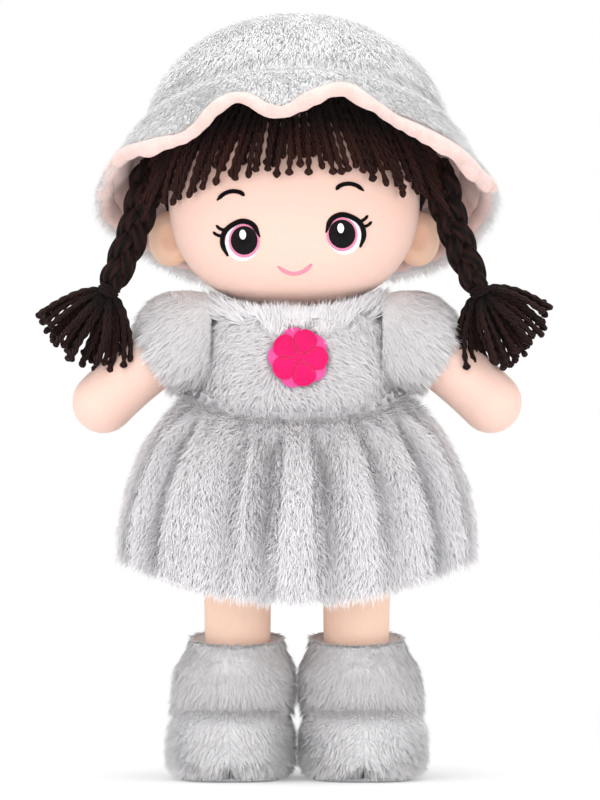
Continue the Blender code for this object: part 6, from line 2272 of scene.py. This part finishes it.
@dataclass
class Studio:
    """A pale floor and backdrop, soft lamps and a long lens straight in front."""

    distance: float = 3.2
    tall: float = 0.4166
    aim: tuple[float, float] = (0.00156, 0.1971)
    sensor: float = 36.0
    shadow_reach: float = 0.34
    floor_size: float = 6.0
    lamps: tuple = (("key_lamp", (-0.7, -1.9, 1.7), 1.5, 10.0), ("left_lamp", (-1.9, -1.3, 0.30), 1.4, 8.5),
                    ("right_lamp", (1.9, -1.3, 0.45), 1.4, 9.0),
                    ("low_front_lamp", (0.0, -2.4, 0.10), 1.4, 13.5),
                    ("top_lamp", (0.0, -0.2, 1.9), 1.6, 22.0))

    def build(self) -> None:
        """Floor, world, lamps and camera."""
        self.floor()
        self.world()
        for name, place, size, power in self.lamps:
            self.lamp(name, place, size, power)
        self.camera()

    def floor(self) -> None:
        """A wide paper floor that goes over to plain white, for the camera, beyond the doll's shadow."""
        corners = self.floor_size * np.array(((-1, -1, 0), (1, -1, 0), (1, 1, 0), (-1, 1, 0))) - STAND
        net = Net(corners, [np.array(((0, 1, 2, 3),))], [np.zeros((1, 4, 2))], np.zeros(4), np.zeros(4))
        mesh_piece = made("floor", net, SOLE_FELT)
        recipe = Recipe("pale_floor")
        seen = recipe.add("ShaderNodeLightPath", out="Is Camera Ray")
        away = recipe.distance((0.0, 0.0, 0.0))
        paper = recipe.add("ShaderNodeBsdfDiffuse", None, {"Color": (0.93, 0.93, 0.93)})
        white = recipe.add("ShaderNodeEmission", None, {"Color": (1.0, 1.0, 1.0), "Strength": 1.0})
        share = seen * (0.30 + away.between(self.shadow_reach * 0.4, self.shadow_reach) * 0.70)
        recipe.add("ShaderNodeOutputMaterial", None,
                   {"Surface": recipe.add("ShaderNodeMixShader", None, {0: share, 1: paper, 2: white})})
        mesh_piece.data.materials.clear()
        mesh_piece.data.materials.append(recipe.material)

    def world(self) -> None:
        """White to the camera and to reflections, a softer white as light."""
        world = bpy.data.worlds.new("studio")
        world.use_nodes = True
        tree = world.node_tree
        tree.nodes.clear()
        path = tree.nodes.new("ShaderNodeLightPath")
        seen = tree.nodes.new("ShaderNodeMath")
        seen.operation = "MAXIMUM"
        tree.links.new(path.outputs["Is Camera Ray"], seen.inputs[0])
        tree.links.new(path.outputs["Is Glossy Ray"], seen.inputs[1])
        mix = tree.nodes.new("ShaderNodeMixShader")
        tree.links.new(seen.outputs[0], mix.inputs[0])
        for slot, strength in ((1, 0.80), (2, 1.0)):
            light = tree.nodes.new("ShaderNodeBackground")
            light.inputs["Color"].default_value = (1.0, 1.0, 1.0, 1.0)
            light.inputs["Strength"].default_value = strength
            tree.links.new(light.outputs[0], mix.inputs[slot])
        end = tree.nodes.new("ShaderNodeOutputWorld")
        tree.links.new(mix.outputs[0], end.inputs["Surface"])
        bpy.context.scene.world = world

    def lamp(self, name: str, place: tuple[float, float, float], size: float, power: float) -> None:
        """A square soft lamp that looks at the doll's middle.

        Args:
            name: The lamp's name.
            place: Where it stands.
            size: Its side.
            power: Its watts.
        """
        light = bpy.data.lights.new(name, "AREA")
        light.shape, light.size, light.energy = "SQUARE", size, power
        lamp = bpy.data.objects.new(name, light)
        bpy.context.scene.collection.objects.link(lamp)
        lamp.location = place
        way = np.array((0.0, 0.0, self.aim[1])) - np.array(place)
        lamp.rotation_euler = Vector(way).to_track_quat("-Z", "Y").to_euler()

    def camera(self) -> None:
        """A long lens level with the doll's middle, framed as the photograph is."""
        data = bpy.data.cameras.new("camera")
        data.sensor_width = self.sensor
        data.lens = self.distance * self.sensor / self.tall
        data.clip_end = 100.0
        camera = bpy.data.objects.new("camera", data)
        bpy.context.scene.collection.objects.link(camera)
        camera.location = (self.aim[0], -self.distance, self.aim[1])
        camera.rotation_euler = (math.pi / 2.0, 0.0, 0.0)
        bpy.context.scene.camera = camera


def main() -> None:
    """Builds the doll piece by piece, then the studio."""
    head = Stuffed().build()
    log.info("stuffed parts are in place")
    StitchedFace().build(head)
    log.info("the face is sewn")
    YarnHair().build()
    log.info("the hair is laid")
    PlushHat().build()
    log.info("the hat is sewn")
    PlushDress().build()
    log.info("the dress is sewn")
    PlushBoots().build()
    log.info("the boots are sewn")
    Studio().build()
    settings = bpy.context.scene.view_settings
    settings.view_transform = "Standard"
    bpy.context.view_layer.update()


if __name__ == "__main__":
    main()
